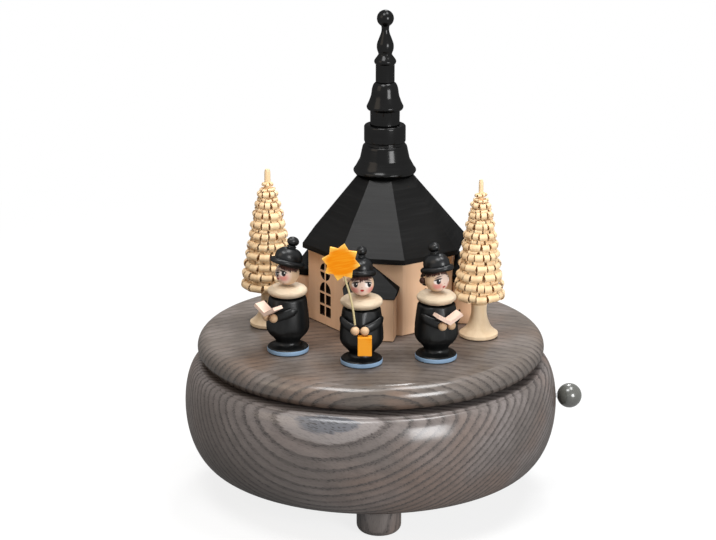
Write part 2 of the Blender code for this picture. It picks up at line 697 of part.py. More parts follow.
def build_singer(turntable, name, x, y, turn, head_turn, hat_tilt, hand_shift, paints, bun=False):
    black, cream, skin = paints
    figure = empty(name, (x, y, LID_THICKNESS + SEAT_GAP), turntable, turn)
    shoulder = COAT_HEIGHT - 0.0012
    coat = [(0, COAT_HEIGHT), (COAT_SHOULDER_RADIUS * 0.75, COAT_HEIGHT), (COAT_SHOULDER_RADIUS, shoulder)]
    for z in (COAT_HEIGHT * 0.68, COAT_HEIGHT * 0.48):
        coat.append((coat_radius(z), z))
    hem = STAND_THICKNESS + 0.0064
    coat += [(COAT_RADIUS, hem), (COAT_RADIUS * 0.94, hem - 0.0008), (COAT_RADIUS * 0.62, hem - 0.0020),
             (COAT_RADIUS * 0.60, STAND_THICKNESS + 0.0018), (STAND_RADIUS * 0.93, STAND_THICKNESS + 0.0003),
             (STAND_RADIUS, STAND_THICKNESS - 0.0002), (STAND_RADIUS, 0), (0, 0)]
    turned(name + "_body", coat, 14, black, figure)
    collar_z = COAT_HEIGHT + SEAT_GAP
    top = COLLAR_THICKNESS
    collar = [(0, top), (COLLAR_RADIUS * 0.52, top), (COLLAR_RADIUS * 0.90, top * 0.76),
              (COLLAR_RADIUS, top * 0.46), (COLLAR_RADIUS * 0.86, top * 0.12), (COLLAR_RADIUS * 0.70, 0), (0, 0)]
    turned(name + "_collar", collar, 14, cream, figure, (0, 0, collar_z))
    centre = collar_z + top + SEAT_GAP + HEAD_RADIUS
    crown = empty(name + "_head_place", (0, 0, centre), figure, head_turn - turn)
    tilt = (-hat_tilt, 0, 0)
    cut = math.degrees(math.asin(HAT_SEAT / HEAD_RADIUS))
    head = [(0, HAT_SEAT)] + arc(HEAD_RADIUS, HEAD_RADIUS, (0, 0), cut, -90, 6)[:-1] + [(0, -HEAD_RADIUS)]
    face = turned(name + "_head", head, 12, skin, crown, (0, 0, 0), tilt)
    if bun:
        bm = bmesh.new()
        bmesh.ops.create_uvsphere(bm, u_segments=8, v_segments=5, radius=BUN_RADIUS)
        angle = math.radians(-125)
        reach = HEAD_RADIUS + BUN_RADIUS * 0.55
        place = (reach * math.sin(angle), -reach * math.cos(angle), -0.0004)
        combine(face, solid(name + "_bun", bm, None, crown, place, cutter=True), "UNION")
    seat = HAT_SEAT + SEAT_GAP
    peak = seat + CROWN_HEIGHT
    bobble = peak + BOBBLE_RADIUS * 0.9
    hat = [(0, bobble + BOBBLE_RADIUS)] + arc(BOBBLE_RADIUS, BOBBLE_RADIUS, (0, bobble), 90, -50, 4)[1:]
    hat += [(BOBBLE_RADIUS * 0.60, peak - 0.0002), (HEAD_RADIUS * 0.58, peak - CROWN_HEIGHT * 0.10),
            (HEAD_RADIUS * 0.88, peak - CROWN_HEIGHT * 0.32), (HEAD_RADIUS * 0.97, seat + 0.0026),
            (BRIM_RADIUS, seat + 0.0015), (BRIM_RADIUS * 0.98, seat + 0.0004), (HEAD_RADIUS * 0.90, seat),
            (0, seat)]
    cap = turned(name + "_hat", hat, 12, black, crown, (0, 0, 0), tilt)
    cap.scale = (1.0, HAT_STRETCH, 1.0)
    reach = coat_radius(HAND_HEIGHT) + HAND_RADIUS + SEAT_GAP + 0.0002
    hands = []
    for side, part in ((-1, "_arm_right"), (1, "_arm_left")):
        hand_x = side * (HAND_RADIUS + SEAT_GAP / 2) + hand_shift
        hand = Vector((hand_x, -math.sqrt(reach ** 2 - hand_x ** 2), HAND_HEIGHT))
        build_arm(name + part, figure, side, hand, black)
        hands.append(hand)
    return figure, hands


def build_arm(name, figure, side, hand, black):
    """A sleeve that follows the coat round to the front and ends in a ball hand."""
    points = []
    radii = []
    start = math.radians(48) * side
    end = math.atan2(hand.x, -hand.y)
    gap = SLEEVE_RADIUS + SEAT_GAP + 0.0003
    for i in range(4):
        share = i / 4
        angle = start + (end - start) * share
        z = SLEEVE_TOP + (hand.z - SLEEVE_TOP) * share
        level = max(hand.z - HAND_RADIUS, z - SLEEVE_RADIUS)
        reach = coat_radius(level) + gap
        points.append((reach * math.sin(angle), -reach * math.cos(angle), z))
        radii.append(SLEEVE_RADIUS * (0.72 if i == 0 else 1.0))
    last = Vector(points[-1])
    direction = (hand - last).normalized()
    for along, size in ((-0.80, 0.55), (-0.25, 0.96), (0.35, 0.93), (0.86, 0.5)):
        points.append(tuple(hand + direction * HAND_RADIUS * along))
        radii.append(HAND_RADIUS * size)
    tube(name, points, radii, black, figure, 1)


def build_book(name, figure, hands, paper):
    """An open book, a V of two stiff pages that rests on both hands."""
    middle = (hands[0] + hands[1]) / 2
    half = (hands[1] - hands[0]).length / 2
    rise = (HAND_RADIUS + SEAT_GAP - half * math.sin(BOOK_SLOPE)) / math.cos(BOOK_SLOPE)
    page_x = BOOK_PAGE * math.cos(BOOK_SLOPE)
    page_z = BOOK_PAGE * math.sin(BOOK_SLOPE)
    thick = BOOK_THICKNESS / math.cos(BOOK_SLOPE)
    lip_x = BOOK_THICKNESS * math.sin(BOOK_SLOPE)
    lip_z = BOOK_THICKNESS * math.cos(BOOK_SLOPE)
    outline = [(0, 0), (page_x, page_z), (page_x - lip_x, page_z + lip_z), (0, thick),
               (lip_x - page_x, page_z + lip_z), (-page_x, page_z)]
    turn = math.atan2(middle.x, -middle.y)
    out = Vector((math.sin(turn), -math.cos(turn), 0))
    place = middle + out * 0.0008 + Vector((0, 0, rise))
    flat(name, [outline], BOOK_LENGTH, paper, figure, place, (math.pi / 2, 0, turn))


def build_star(figure, hands, pole_paint, orange):
    hand = hands[0]
    foot = hand + Vector((0, 0, HAND_RADIUS + SEAT_GAP + POLE_RADIUS))
    lean = Vector((-math.sin(POLE_LEAN), 0, math.cos(POLE_LEAN)))
    top = foot + lean * POLE_LENGTH
    tube("star_pole", [tuple(foot), tuple(foot + lean * POLE_LENGTH / 2), tuple(top)],
         [POLE_RADIUS] * 3, pole_paint, figure, 1)
    step = 2 * math.pi / STAR_POINTS
    notch = math.atan2(-lean.z, -lean.x)
    outline = []
    for i in range(STAR_POINTS * 2):
        radius = STAR_NOTCH_RADIUS if i % 2 == 0 else STAR_TIP_RADIUS
        angle = notch + i * step / 2
        outline.append((radius * math.cos(angle), radius * math.sin(angle)))
    centre = top + lean * (STAR_NOTCH_RADIUS + SEAT_GAP)
    flat("star", [outline], STAR_THICKNESS, orange, figure, centre, (math.pi / 2, 0, 0))


def build_lantern(figure, hands, orange):
    hand = hands[1]
    top = hand.z - HAND_RADIUS - SEAT_GAP
    clear = coat_radius(top - LANTERN_BLOCK_HEIGHT) + SEAT_GAP
    place = Vector((hand.x, -(clear + LANTERN_DEPTH / 2), top - LANTERN_BLOCK_HEIGHT / 2))
    bm = bmesh.new()
    box(bm, (LANTERN_WIDTH, LANTERN_DEPTH, LANTERN_BLOCK_HEIGHT), (0, 0, 0))
    block = solid("lantern", bm, orange, figure, place)
    bevel = block.modifiers.new("edges", "BEVEL")
    bevel.width = 0.0004
    bevel.segments = 1


def build_barrel(turntable, brass, steel):
    """Spring barrel with its drive shaft, the crown wheel round it and the spring inside."""
    barrel_z = PLATE_TOP + 0.0004 - LID_Z
    shaft_top = HUB_BORE_DEPTH - HUB_HEIGHT - 2 * SEAT_GAP
    top = barrel_z + BARREL_HEIGHT
    flange = BARREL_RADIUS + 0.0013
    barrel = [(0, shaft_top), (DRIVE_SHAFT_RADIUS, shaft_top), (DRIVE_SHAFT_RADIUS, top),
              (BARREL_RADIUS - 0.0006, top), (BARREL_RADIUS, top - 0.0006), (BARREL_RADIUS, barrel_z + 0.0006),
              (flange, barrel_z + 0.0006), (flange, barrel_z), (BARREL_RADIUS - BARREL_WALL, barrel_z),
              (BARREL_RADIUS - BARREL_WALL, top - BARREL_WALL), (0, top - BARREL_WALL)]
    turned("spring_barrel", barrel, 20, brass, turntable)
    addendum = PINION_RADIUS * 0.20
    dedendum = PINION_RADIUS * 0.28
    pitch_z = CYLINDER_Z - PINION_RADIUS - LID_Z
    base_z = barrel_z + 0.0006 + SEAT_GAP
    inner = BARREL_RADIUS + SEAT_GAP
    outer = inner + CROWN_WHEEL_WIDTH
    bm = bmesh.new()
    rings = []
    step = 2 * math.pi / CROWN_TEETH
    for tooth in range(CROWN_TEETH):
        middle = (tooth + 0.5) * step
        for offset, level in ((-0.30, pitch_z - dedendum), (-0.13, pitch_z + addendum),
                              (0.13, pitch_z + addendum), (0.30, pitch_z - dedendum)):
            angle = middle + offset * step
            rings.append([bm.verts.new((r * math.cos(angle), r * math.sin(angle), z))
                          for r, z in ((inner, base_z), (outer, base_z), (outer, level), (inner, level))])
    for i, ring in enumerate(rings):
        following = rings[(i + 1) % len(rings)]
        for k in range(4):
            bm.faces.new((ring[k], ring[(k + 1) % 4], following[(k + 1) % 4], following[k]))
    solid("great_wheel", bm, brass, turntable)
    inside = BARREL_RADIUS - BARREL_WALL - SEAT_GAP - SPRING_THICKNESS
    start = ARBOR_RADIUS + SEAT_GAP + SPRING_THICKNESS
    count = int(SPRING_TURNS * 10)
    outer_side = []
    inner_side = []
    for i in range(count + 1):
        angle = 2 * math.pi * SPRING_TURNS * i / count
        radius = start + (inside - start) * i / count
        direction = (math.cos(angle), math.sin(angle))
        outer_side.append((direction[0] * (radius + SPRING_THICKNESS / 2),
                           direction[1] * (radius + SPRING_THICKNESS / 2)))
        inner_side.append((direction[0] * (radius - SPRING_THICKNESS / 2),
                           direction[1] * (radius - SPRING_THICKNESS / 2)))
    width = BARREL_HEIGHT - BARREL_WALL - 2 * SEAT_GAP - 0.0008
    flat("mainspring", [outer_side + list(reversed(inner_side))], width, steel, turntable,
         (0, 0, top - BARREL_WALL - SEAT_GAP - width / 2))


def build_bedplate(fixed, brass, at):
    wheel_y, worm_y = fan_place()
    far = at["far_edge"]
    comb_y = DRUM_PIN_RADIUS + COMB_TIP_CLEARANCE + COMB_TOOTH_LENGTH
    front = -(comb_y + COMB_BACK + 0.0004)
    back = plate_back()
    left = -(BARREL_RADIUS + 0.0045)
    outline = []
    r = BEDPLATE_ROUND
    for cx, cy, start in ((far - r, back - r, 0), (left + r, back - r, 90), (left + r, front + r, 180),
                          (far - r, front + r, 270)):
        outline += [(cx + r * math.cos(math.radians(start + a)), cy + r * math.sin(math.radians(start + a)))
                    for a in (0, 45, 90)]
    plate = flat("bedplate", [outline], BEDPLATE_THICKNESS, brass, fixed,
                 (0, 0, PLATE_Z + BEDPLATE_THICKNESS / 2))
    bm = bmesh.new()
    post_height = CYLINDER_Z - PLATE_Z + POST_HEADROOM
    sunk = PLATE_Z + 0.0004
    size = post_height - 0.0004
    box(bm, (POST_THICKNESS, POST_WIDTH, size), (at["inner_post"] + POST_THICKNESS / 2, 0, sunk + size / 2))
    box(bm, (POST_THICKNESS, POST_WIDTH + wheel_y, size),
        (at["outer_post"] + POST_THICKNESS / 2, wheel_y / 2, sunk + size / 2))
    box(bm, (POST_THICKNESS, POST_WIDTH, size),
        (at["far_post"] + POST_THICKNESS / 2, wheel_y, sunk + size / 2))
    shelf_top = CYLINDER_Z - COMB_THICKNESS / 2 - SEAT_GAP
    shelf = shelf_top - sunk
    comb_width = at["length"] - DRUM_MARGIN
    comb_x = at["drum"] + at["length"] / 2
    box(bm, (comb_width, COMB_BACK - 0.0010, shelf),
        (comb_x, -(comb_y + COMB_BACK / 2 + 0.0003), sunk + shelf / 2))
    combine(plate, solid("bedplate_posts", bm, None, fixed, cutter=True), "UNION")
    bm = bmesh.new()
    rod(bm, ARBOR_RADIUS + SHAFT_CLEARANCE, 0.006, (0, 0, PLATE_Z), "Z", 12)
    middle = (at["pinion"] + at["end"]) / 2
    span = at["far_edge"] - at["pinion"]
    rod(bm, AXLE_RADIUS + SHAFT_CLEARANCE, span, (middle, 0, CYLINDER_Z), "X", 10)
    span = at["far_edge"] - at["outer_post"] + 2 * POST_THICKNESS
    rod(bm, LEAF_AXLE_RADIUS + SHAFT_CLEARANCE, span,
        (at["outer_post"] - POST_THICKNESS + span / 2, wheel_y, CYLINDER_Z), "X", 10)
    combine(plate, solid("bedplate_holes", bm, None, fixed, cutter=True), "DIFFERENCE")
    leg_y = BARREL_RADIUS + CROWN_WHEEL_WIDTH + 0.0010
    foot_z = PLATE_TOP + SEAT_GAP
    top = PLATE_TOP + 0.0004 + BARREL_HEIGHT + 0.0008 + BRIDGE_THICKNESS
    thick = BRIDGE_THICKNESS
    half_outline = [(leg_y + thick + 0.0020, foot_z), (leg_y + thick + 0.0020, foot_z + thick),
                    (leg_y + thick, foot_z + thick), (leg_y + thick, top)]
    inner = [(-leg_y, top - thick), (-leg_y, foot_z), (leg_y, foot_z), (leg_y, top - thick)]
    outline = half_outline + [(-x, z) for x, z in reversed(half_outline)]
    outline += [inner[1], inner[0], inner[3], inner[2]]
    bridge = flat("barrel_bridge", [outline], BRIDGE_WIDTH, brass, fixed, (0, 0, 0),
                  (math.pi / 2, 0, math.pi / 2))
    bm = bmesh.new()
    rod(bm, DRIVE_SHAFT_RADIUS + SHAFT_CLEARANCE, 0.006, (0, 0, top), "Z", 12)
    combine(bridge, solid("bridge_hole", bm, None, fixed, cutter=True), "DIFFERENCE")


def build_winding(fixed, steel, brass):
    key_axis = empty("key_axis", (0, 0, 0), fixed)
    key_top = BOWL_Z - SEAT_GAP - 0.0004
    key_low = key_top - KEY_HEIGHT
    arbor_top = PLATE_TOP + BARREL_HEIGHT - BARREL_WALL - 2 * SEAT_GAP
    joint = key_top - 0.0030
    bm = bmesh.new()
    rod(bm, ARBOR_RADIUS, arbor_top - joint, (0, 0, (arbor_top + joint) / 2), "Z", 12)
    solid("winding_arbor", bm, steel, key_axis)
    half = KEY_WIDTH / 2
    wing = KEY_HEIGHT - 0.0035
    outline = []
    for centre, start in ((half - wing / 2, -90), (-(half - wing / 2), 90)):
        for i in range(9):
            angle = math.radians(start + 180 * i / 8)
            outline.append((centre + wing / 2 * math.cos(angle), wing / 2 + wing / 2 * math.sin(angle)))
    holes = []
    for side in (-1, 1):
        centre = side * (half - wing / 2)
        holes.append([(centre + wing * 0.2 * math.cos(2 * math.pi * i / 10),
                       wing / 2 + wing * 0.2 * math.sin(2 * math.pi * i / 10)) for i in range(10)])
    key = flat("winding_key", [outline] + holes, KEY_THICKNESS, brass, key_axis, (0, 0, key_low),
               (math.pi / 2, 0, 0))
    bm = bmesh.new()
    rod(bm, KEY_HUB_RADIUS, KEY_HEIGHT - 0.0010, (0, 0, key_low + (KEY_HEIGHT + 0.0010) / 2), "Z", 12)
    combine(key, solid("key_hub", bm, None, key_axis, cutter=True), "UNION")
    bm = bmesh.new()
    socket = 0.0030 + SEAT_GAP
    rod(bm, ARBOR_RADIUS + SEAT_GAP, socket + 0.004, (0, 0, key_top - socket + (socket + 0.004) / 2), "Z", 12)
    combine(key, solid("key_socket", bm, None, key_axis, cutter=True), "DIFFERENCE")


def build_cylinder(fixed, brass, steel, at):
    """Pin cylinder with its axle, pinion, pins and end wheel, one piece that turns about X."""
    axis = empty("cylinder_axis", (0, 0, CYLINDER_Z), fixed)
    facing = (0, math.pi / 2, 0)
    r = AXLE_RADIUS
    drum = at["drum"]
    profile = [(0, at["end"]), (r, at["end"]), (r, at["drum_end"]),
               (CYLINDER_RADIUS, at["drum_end"]), (CYLINDER_RADIUS, drum), (r, drum),
               (r, at["pinion"]), (0, at["pinion"])]
    cylinder = turned("pin_cylinder", profile, 20, brass, axis, (0, 0, 0), facing)
    addendum = PINION_RADIUS * 0.18
    dedendum = PINION_RADIUS * 0.26
    pinion = gear_outline(PINION_TEETH, PINION_RADIUS - dedendum, PINION_RADIUS,
                          PINION_RADIUS + addendum, 0.34)
    combine(cylinder, flat("cylinder_pinion", [pinion], PINION_WIDTH, None, axis,
                           (at["pinion"] + PINION_WIDTH / 2 + 0.0001, 0, 0), facing, cutter=True), "UNION")
    pitch = GEAR_MODULE * WHEEL_TEETH / 2
    wheel = gear_outline(WHEEL_TEETH, pitch - GEAR_MODULE * 1.2, pitch, pitch + GEAR_MODULE * 0.85, 0.42,
                         math.pi / WHEEL_TEETH + math.pi / 2)
    combine(cylinder, flat("cylinder_wheel", [wheel], WHEEL_WIDTH, None, axis,
                           (at["wheel"] + WHEEL_WIDTH / 2, 0, 0), facing, cutter=True), "UNION")
    bm = bmesh.new()
    for i in range(CYLINDER_PINS):
        track = i % COMB_TEETH
        angle = math.radians(137.5 * i + 20 * (i // COMB_TEETH))
        x = drum + DRUM_MARGIN + at["tooth_pitch"] * (track + 0.5)
        out = Vector((0, math.cos(angle), math.sin(angle)))
        low = CYLINDER_RADIUS - 0.0004
        depth = DRUM_PIN_RADIUS - low
        spin = out.to_track_quat("Z", "X").to_matrix().to_4x4()
        matrix = Matrix.Translation(Vector((x, 0, 0)) + out * (low + depth / 2)) @ spin
        bmesh.ops.create_cone(bm, cap_ends=True, segments=3, radius1=0.00034, radius2=0.00020,
                              depth=depth, matrix=matrix)
    combine(cylinder, solid("cylinder_pins", bm, None, axis, cutter=True), "UNION")


def build_comb(fixed, steel, at):
    """Eighteen tuned teeth, longest in the bass, cut from one plate with its tips at the pins."""
    tip = DRUM_PIN_RADIUS + COMB_TIP_CLEARANCE
    back = tip + COMB_TOOTH_LENGTH + COMB_BACK
    first = at["drum"] + DRUM_MARGIN
    pitch = at["tooth_pitch"]
    outline = [(first + pitch * COMB_TEETH, -back), (first, -back)]
    for i in range(COMB_TEETH):
        left = first + pitch * i
        root = tip + COMB_TOOTH_LENGTH * (1.0 - 0.30 * i / (COMB_TEETH - 1))
        outline += [(left + pitch * 0.14, -root), (left + pitch * 0.26, -tip),
                    (left + pitch * 0.74, -tip), (left + pitch * 0.86, -root)]
    flat("comb", [outline], COMB_THICKNESS, steel, fixed, (0, 0, CYLINDER_Z))


def build_governor(fixed, brass, steel, at):
    wheel_y, worm_y = fan_place()
    axis = empty("governor_axis", (0, wheel_y, CYLINDER_Z), fixed)
    facing = (0, math.pi / 2, 0)
    r = LEAF_AXLE_RADIUS
    start = at["wheel"] - AXLE_END
    profile = [(0, at["leaf_end"]), (r, at["leaf_end"]), (r, start), (0, start)]
    wheel = turned("governor_wheel", profile, 10, brass, axis, (0, 0, 0), facing)
    pitch = GEAR_MODULE * LEAF_TEETH / 2
    leaves = gear_outline(LEAF_TEETH, pitch - GEAR_MODULE * 1.15, pitch, pitch + GEAR_MODULE * 0.8, 0.40,
                          -math.pi / 2)
    combine(wheel, flat("governor_leaves", [leaves], WHEEL_WIDTH, None, axis,
                        (at["wheel"] + WHEEL_WIDTH / 2, 0, 0), facing, cutter=True), "UNION")
    teeth = gear_outline(WORM_WHEEL_TEETH, WORM_WHEEL_RADIUS - 0.0008, WORM_WHEEL_RADIUS,
                         WORM_WHEEL_RADIUS + 0.0005, 0.36, math.pi / WORM_WHEEL_TEETH + math.pi / 2)
    combine(wheel, flat("worm_wheel", [teeth], WORM_WHEEL_WIDTH, None, axis,
                        (at["worm_x"], 0, 0), facing, cutter=True), "UNION")
    build_fan(fixed, steel, at, worm_y)
    build_governor_frame(fixed, brass, at, worm_y)


def governor_levels():
    """Heights of the governor frame's arms and of the fan between them."""
    low = PLATE_TOP + SEAT_GAP
    fan_low = CYLINDER_Z + WORM_WHEEL_RADIUS + 0.0014
    fan_high = max(fan_low + FAN_HEIGHT, KNOB_Z + STOP_ROD_RADIUS + FAN_LEVEL_GAP)
    top = fan_high + FAN_LEVEL_GAP
    return low, fan_low, fan_high, top


def build_fan(fixed, steel, at, worm_y):
    """Vertical worm with its two-bladed fan, turned by the worm wheel."""
    low, fan_low, fan_high, top = governor_levels()
    axis = empty("fan_axis", (at["worm_x"], worm_y, 0), fixed)
    shaft_low = low + 2 * SEAT_GAP
    shaft_high = top + 0.0014
    worm_low = CYLINDER_Z - WORM_LENGTH / 2
    worm_high = CYLINDER_Z + WORM_LENGTH / 2
    r = FAN_SHAFT_RADIUS
    profile = [(0, shaft_high), (r, shaft_high), (r, fan_high), (WORM_CORE_RADIUS * 1.3, fan_high),
               (WORM_CORE_RADIUS * 1.3, fan_low), (WORM_CORE_RADIUS, fan_low), (WORM_CORE_RADIUS, worm_low),
               (r, worm_low), (r, shaft_low), (0, shaft_low)]
    fan = turned("governor_fan", profile, 10, steel, axis)
    lead = 2 * math.pi * WORM_WHEEL_RADIUS / WORM_WHEEL_TEETH
    turns = (worm_high - worm_low - 0.0016) / lead
    count = int(turns * 8)
    tip = WORM_RADIUS + WORM_TIP
    root = FAN_SHAFT_RADIUS
    bm = bmesh.new()
    rings = []
    middle_phase = -math.pi / 2
    for i in range(count + 1):
        angle = middle_phase + 2 * math.pi * (i - count / 2) / 8
        z = CYLINDER_Z + lead * (i - count / 2) / 8
        section = ((root, -0.16), (tip, -0.07), (tip, 0.07), (root, 0.16))
        rings.append([bm.verts.new((q * math.cos(angle), q * math.sin(angle), z + lead * h))
                      for q, h in section])
    for first, second in zip(rings, rings[1:]):
        for k in range(4):
            bm.faces.new((first[k], first[(k + 1) % 4], second[(k + 1) % 4], second[k]))
    bm.faces.new(rings[0])
    bm.faces.new(list(reversed(rings[-1])))
    combine(fan, solid("worm_thread", bm, None, axis, cutter=True), "UNION")
    bm = bmesh.new()
    box(bm, (FAN_THICKNESS, FAN_RADIUS * 2, fan_high - fan_low - 0.0004), (0, 0, (fan_low + fan_high) / 2))
    combine(fan, solid("fan_blades", bm, None, axis, cutter=True), "UNION")


def build_governor_frame(fixed, brass, at, worm_y):
    low, fan_low, fan_high, top = governor_levels()
    thick = POST_THICKNESS * 0.8
    back = worm_y + FAN_RADIUS + FAN_GAP
    front = worm_y - WORM_RADIUS
    outline = [(front, low), (back + thick, low), (back + thick, top + thick), (front, top + thick),
               (front, top), (back, top), (back, low + thick), (front, low + thick)]
    frame = flat("governor_frame", [outline], 0.0050, brass, fixed, (at["worm_x"], 0, 0),
                 (math.pi / 2, 0, math.pi / 2))
    bm = bmesh.new()
    radius = FAN_SHAFT_RADIUS + SHAFT_CLEARANCE
    rod(bm, radius, 0.006, (at["worm_x"], worm_y, top), "Z", 10)
    rod(bm, radius, thick * 2, (at["worm_x"], worm_y, low + thick + SEAT_GAP), "Z", 10)
    combine(frame, solid("governor_bores", bm, None, fixed, cutter=True), "DIFFERENCE")


def main():
    for obj in list(bpy.data.objects):
        bpy.data.objects.remove(obj)
    bpy.context.scene.collection.children.link(MODEL)
    bpy.context.scene.collection.children.link(CUTTERS)
    stained = material("stained_ash", (0.19, 0.17, 0.165), 0.38)
    lid_wood = material("lid_ash", (0.20, 0.18, 0.175), 0.40)
    knob_wood = material("knob_stain", (0.20, 0.21, 0.19), 0.30)
    pale = material("pale_maple", (0.72, 0.53, 0.36), 0.60)
    shaving = material("shaved_wood", (0.80, 0.62, 0.38), 0.65)
    roof_black = material("roof_stain", (0.02, 0.02, 0.022), 0.50)
    steeple_black = material("steeple_paint", (0.008, 0.008, 0.010), 0.30)
    coat_black = material("coat_paint", (0.009, 0.010, 0.010), 0.32)
    cream = material("collar_wood", (0.74, 0.62, 0.42), 0.55)
    skin = material("face_wood", (0.76, 0.55, 0.40), 0.45)
    paper = material("book_wood", (0.80, 0.62, 0.52), 0.60)
    orange = material("star_paint", (0.90, 0.34, 0.02), 0.45)
    brass = material("brass", (0.62, 0.45, 0.20), 0.35, 1.0)
    steel = material("steel", (0.45, 0.45, 0.46), 0.35, 1.0)
    fixed = empty("box_axis", (AXIS_X, 0, 0))
    turntable = empty("turntable", (AXIS_X, 0, LID_Z))
    at = cylinder_places()
    build_base(fixed, stained)
    build_stop(fixed, knob_wood, steel, at)
    build_lid(turntable, lid_wood, pale)
    build_church(turntable, pale, roof_black, steeple_black)
    build_tree(turntable, "tree_left", LEFT_TREE_X, LEFT_TREE_Y, LEFT_TREE_HEIGHT, LEFT_TREE_RADIUS, 0.1,
               shaving)
    build_tree(turntable, "tree_right", RIGHT_TREE_X, RIGHT_TREE_Y, RIGHT_TREE_HEIGHT, RIGHT_TREE_RADIUS,
               0.0, shaving)
    paints = (coat_black, cream, skin)
    figure, hands = build_singer(turntable, "left_singer", LEFT_SINGER_X, LEFT_SINGER_Y, LEFT_SINGER_TURN,
                                 LEFT_HEAD_TURN, LEFT_HAT_TILT, 0.0, paints)
    build_book("left_singer_book", figure, hands, paper)
    figure, hands = build_singer(turntable, "right_singer", RIGHT_SINGER_X, RIGHT_SINGER_Y,
                                 RIGHT_SINGER_TURN, RIGHT_HEAD_TURN, RIGHT_HAT_TILT, 0.0, paints, bun=True)
    build_book("right_singer_book", figure, hands, paper)
    figure, hands = build_singer(turntable, "star_bearer", STAR_BEARER_X, STAR_BEARER_Y, STAR_BEARER_TURN,
                                 STAR_BEARER_TURN, STAR_BEARER_HAT_TILT, -0.0006, paints)
    build_star(figure, hands, shaving, orange)
    build_lantern(figure, hands, orange)
    build_barrel(turntable, brass, steel)
    build_bedplate(fixed, brass, at)
    build_winding(fixed, steel, brass)
    build_cylinder(fixed, brass, steel, at)
    build_comb(fixed, steel, at)
    build_governor(fixed, brass, steel, at)
    for obj in MODEL.objects:
        if obj.type == "MESH":
            obj.data.shade_smooth()
            obj.data.set_sharp_from_angle(angle=math.radians(35))


main()
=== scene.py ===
"""Looks of a turned wooden music box: a grey stained bowl and turning lid, an eight-sided church,
carol singers, shaved-curl trees, a star and a lantern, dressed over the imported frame. Metres."""
import random
from math import acos, asin, atan2, cos, degrees, pi, radians, sin, sqrt

import bmesh
import bpy
from mathutils import Matrix, Vector


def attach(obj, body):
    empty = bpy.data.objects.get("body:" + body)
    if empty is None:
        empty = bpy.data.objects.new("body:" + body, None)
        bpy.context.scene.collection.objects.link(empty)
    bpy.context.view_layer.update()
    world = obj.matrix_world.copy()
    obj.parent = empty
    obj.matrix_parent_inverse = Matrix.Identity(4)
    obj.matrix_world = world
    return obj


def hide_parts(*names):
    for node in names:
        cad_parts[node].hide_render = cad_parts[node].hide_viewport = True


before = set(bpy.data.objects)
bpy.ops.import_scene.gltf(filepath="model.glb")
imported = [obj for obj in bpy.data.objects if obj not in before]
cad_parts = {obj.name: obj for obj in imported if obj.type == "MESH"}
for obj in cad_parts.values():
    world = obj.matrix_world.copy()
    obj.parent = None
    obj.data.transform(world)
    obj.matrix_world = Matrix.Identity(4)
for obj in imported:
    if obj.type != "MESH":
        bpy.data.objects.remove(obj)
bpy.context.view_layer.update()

# Bowl, feet, knob and lid
AXIS_X = -0.00535
SEAT_GAP = 0.0003
BOWL_Z = 0.0133
BOWL_RADIUS = 0.075
BOWL_HEIGHT = 0.0413
BELLY_HEIGHT = 0.0243
BOWL_BOTTOM_RADIUS = 0.0625
RIM_RADIUS = 0.0695
RIM_ROUND = 0.0006
CAVITY_RADIUS = 0.0615
CAVITY_FILLET = 0.003
BOWL_FLOOR = 0.0072
KEY_HOLE_RADIUS = 0.0032
KEY_HOLE_CHAMFER = 0.0004
KNOB_Z = 0.0383
KNOB_RADIUS = 0.005
KNOB_GAP = 0.0007
KNOB_SOCKET = 0.0005
ROD_HOLE_RADIUS = 0.0012
ROD_HOLE_LENGTH = 0.03
ROD_HOLE_SET = 0.006
FOOT_RADIUS = 0.0087
FOOT_HEIGHT = 0.013
FOOT_TOP_ROUND = 0.0005
FOOT_SOLE_ROUND = 0.003
FOOT_CIRCLE = 0.048
FOOT_TURN = radians(4.0)
LID_Z = 0.0559
LID_RADIUS = 0.0696
LID_THICKNESS = 0.0101
LID_NOSE = 0.005

# Church
CHURCH_PLACE = (0.0055, 0.0227)
CHURCH_TURN = radians(13.07)
WALL_RADIUS = 0.03176
WALL_HEIGHT = 0.0296
EAVE_RADIUS = 0.0341
EAVE_THICKNESS = 0.002
ROOF_HEIGHT = 0.0266
ROOF_TOP_RADIUS = 0.0116
PANE_DEPTH = 0.0013
PANE_BAR = 0.0009
PANE_STEPS = 8
ROSETTE_RADIUS = 0.0036
ROSETTE_HEIGHT = 0.0226
ARCH_WIDTH = 0.0078
ARCH_SILL = 0.004
ARCH_HEIGHT = 0.0142
PORCH_WIDTH = 0.0195
PORCH_REACH = 0.00785
PORCH_HEIGHT = 0.0171
GABLE_LIP = 0.0004
GABLE_OVERHANG = 0.0013
GABLE_FASCIA = 0.003
GABLE_DROP = 0.0014
ARRIS = 0.00022
FLAT_SHARP = 8.0
ROUND_SHARP = 38.0

# Steeple: curves as radius and height pairs, those of the bells downwards, those of the spire upwards
BELL_HEIGHT = 0.0122
DRUM_TOP = 0.0206
BELL_CURVE = ((0.00808, BELL_HEIGHT + 0.001), (0.00808, BELL_HEIGHT + 0.0004), (0.00866, BELL_HEIGHT),
              (0.00902, 0.0115), (0.0092, 0.0107), (0.0094, 0.0098), (0.00992, 0.0073), (0.01014, 0.0065),
              (0.01095, 0.005), (0.01186, 0.0033), (0.01258, 0.0023), (0.01269, 0.00175), (0.01245, 0.0011),
              (0.0121, 0.0007), (0.0116, 0.0))
SMALL_BELL_TOP = 0.0169
SMALL_BELL_CURVE = ((0.00394, 0.0168), (0.00466, 0.016), (0.00523, 0.0144), (0.00546, 0.0128),
                    (0.0056, 0.0119), (0.00578, 0.0111), (0.00606, 0.0103), (0.00655, 0.009),
                    (0.0071, 0.0078), (0.0074, 0.0071), (0.0073, 0.0064), (0.0069, 0.0058), (0.00645, 0.0056))
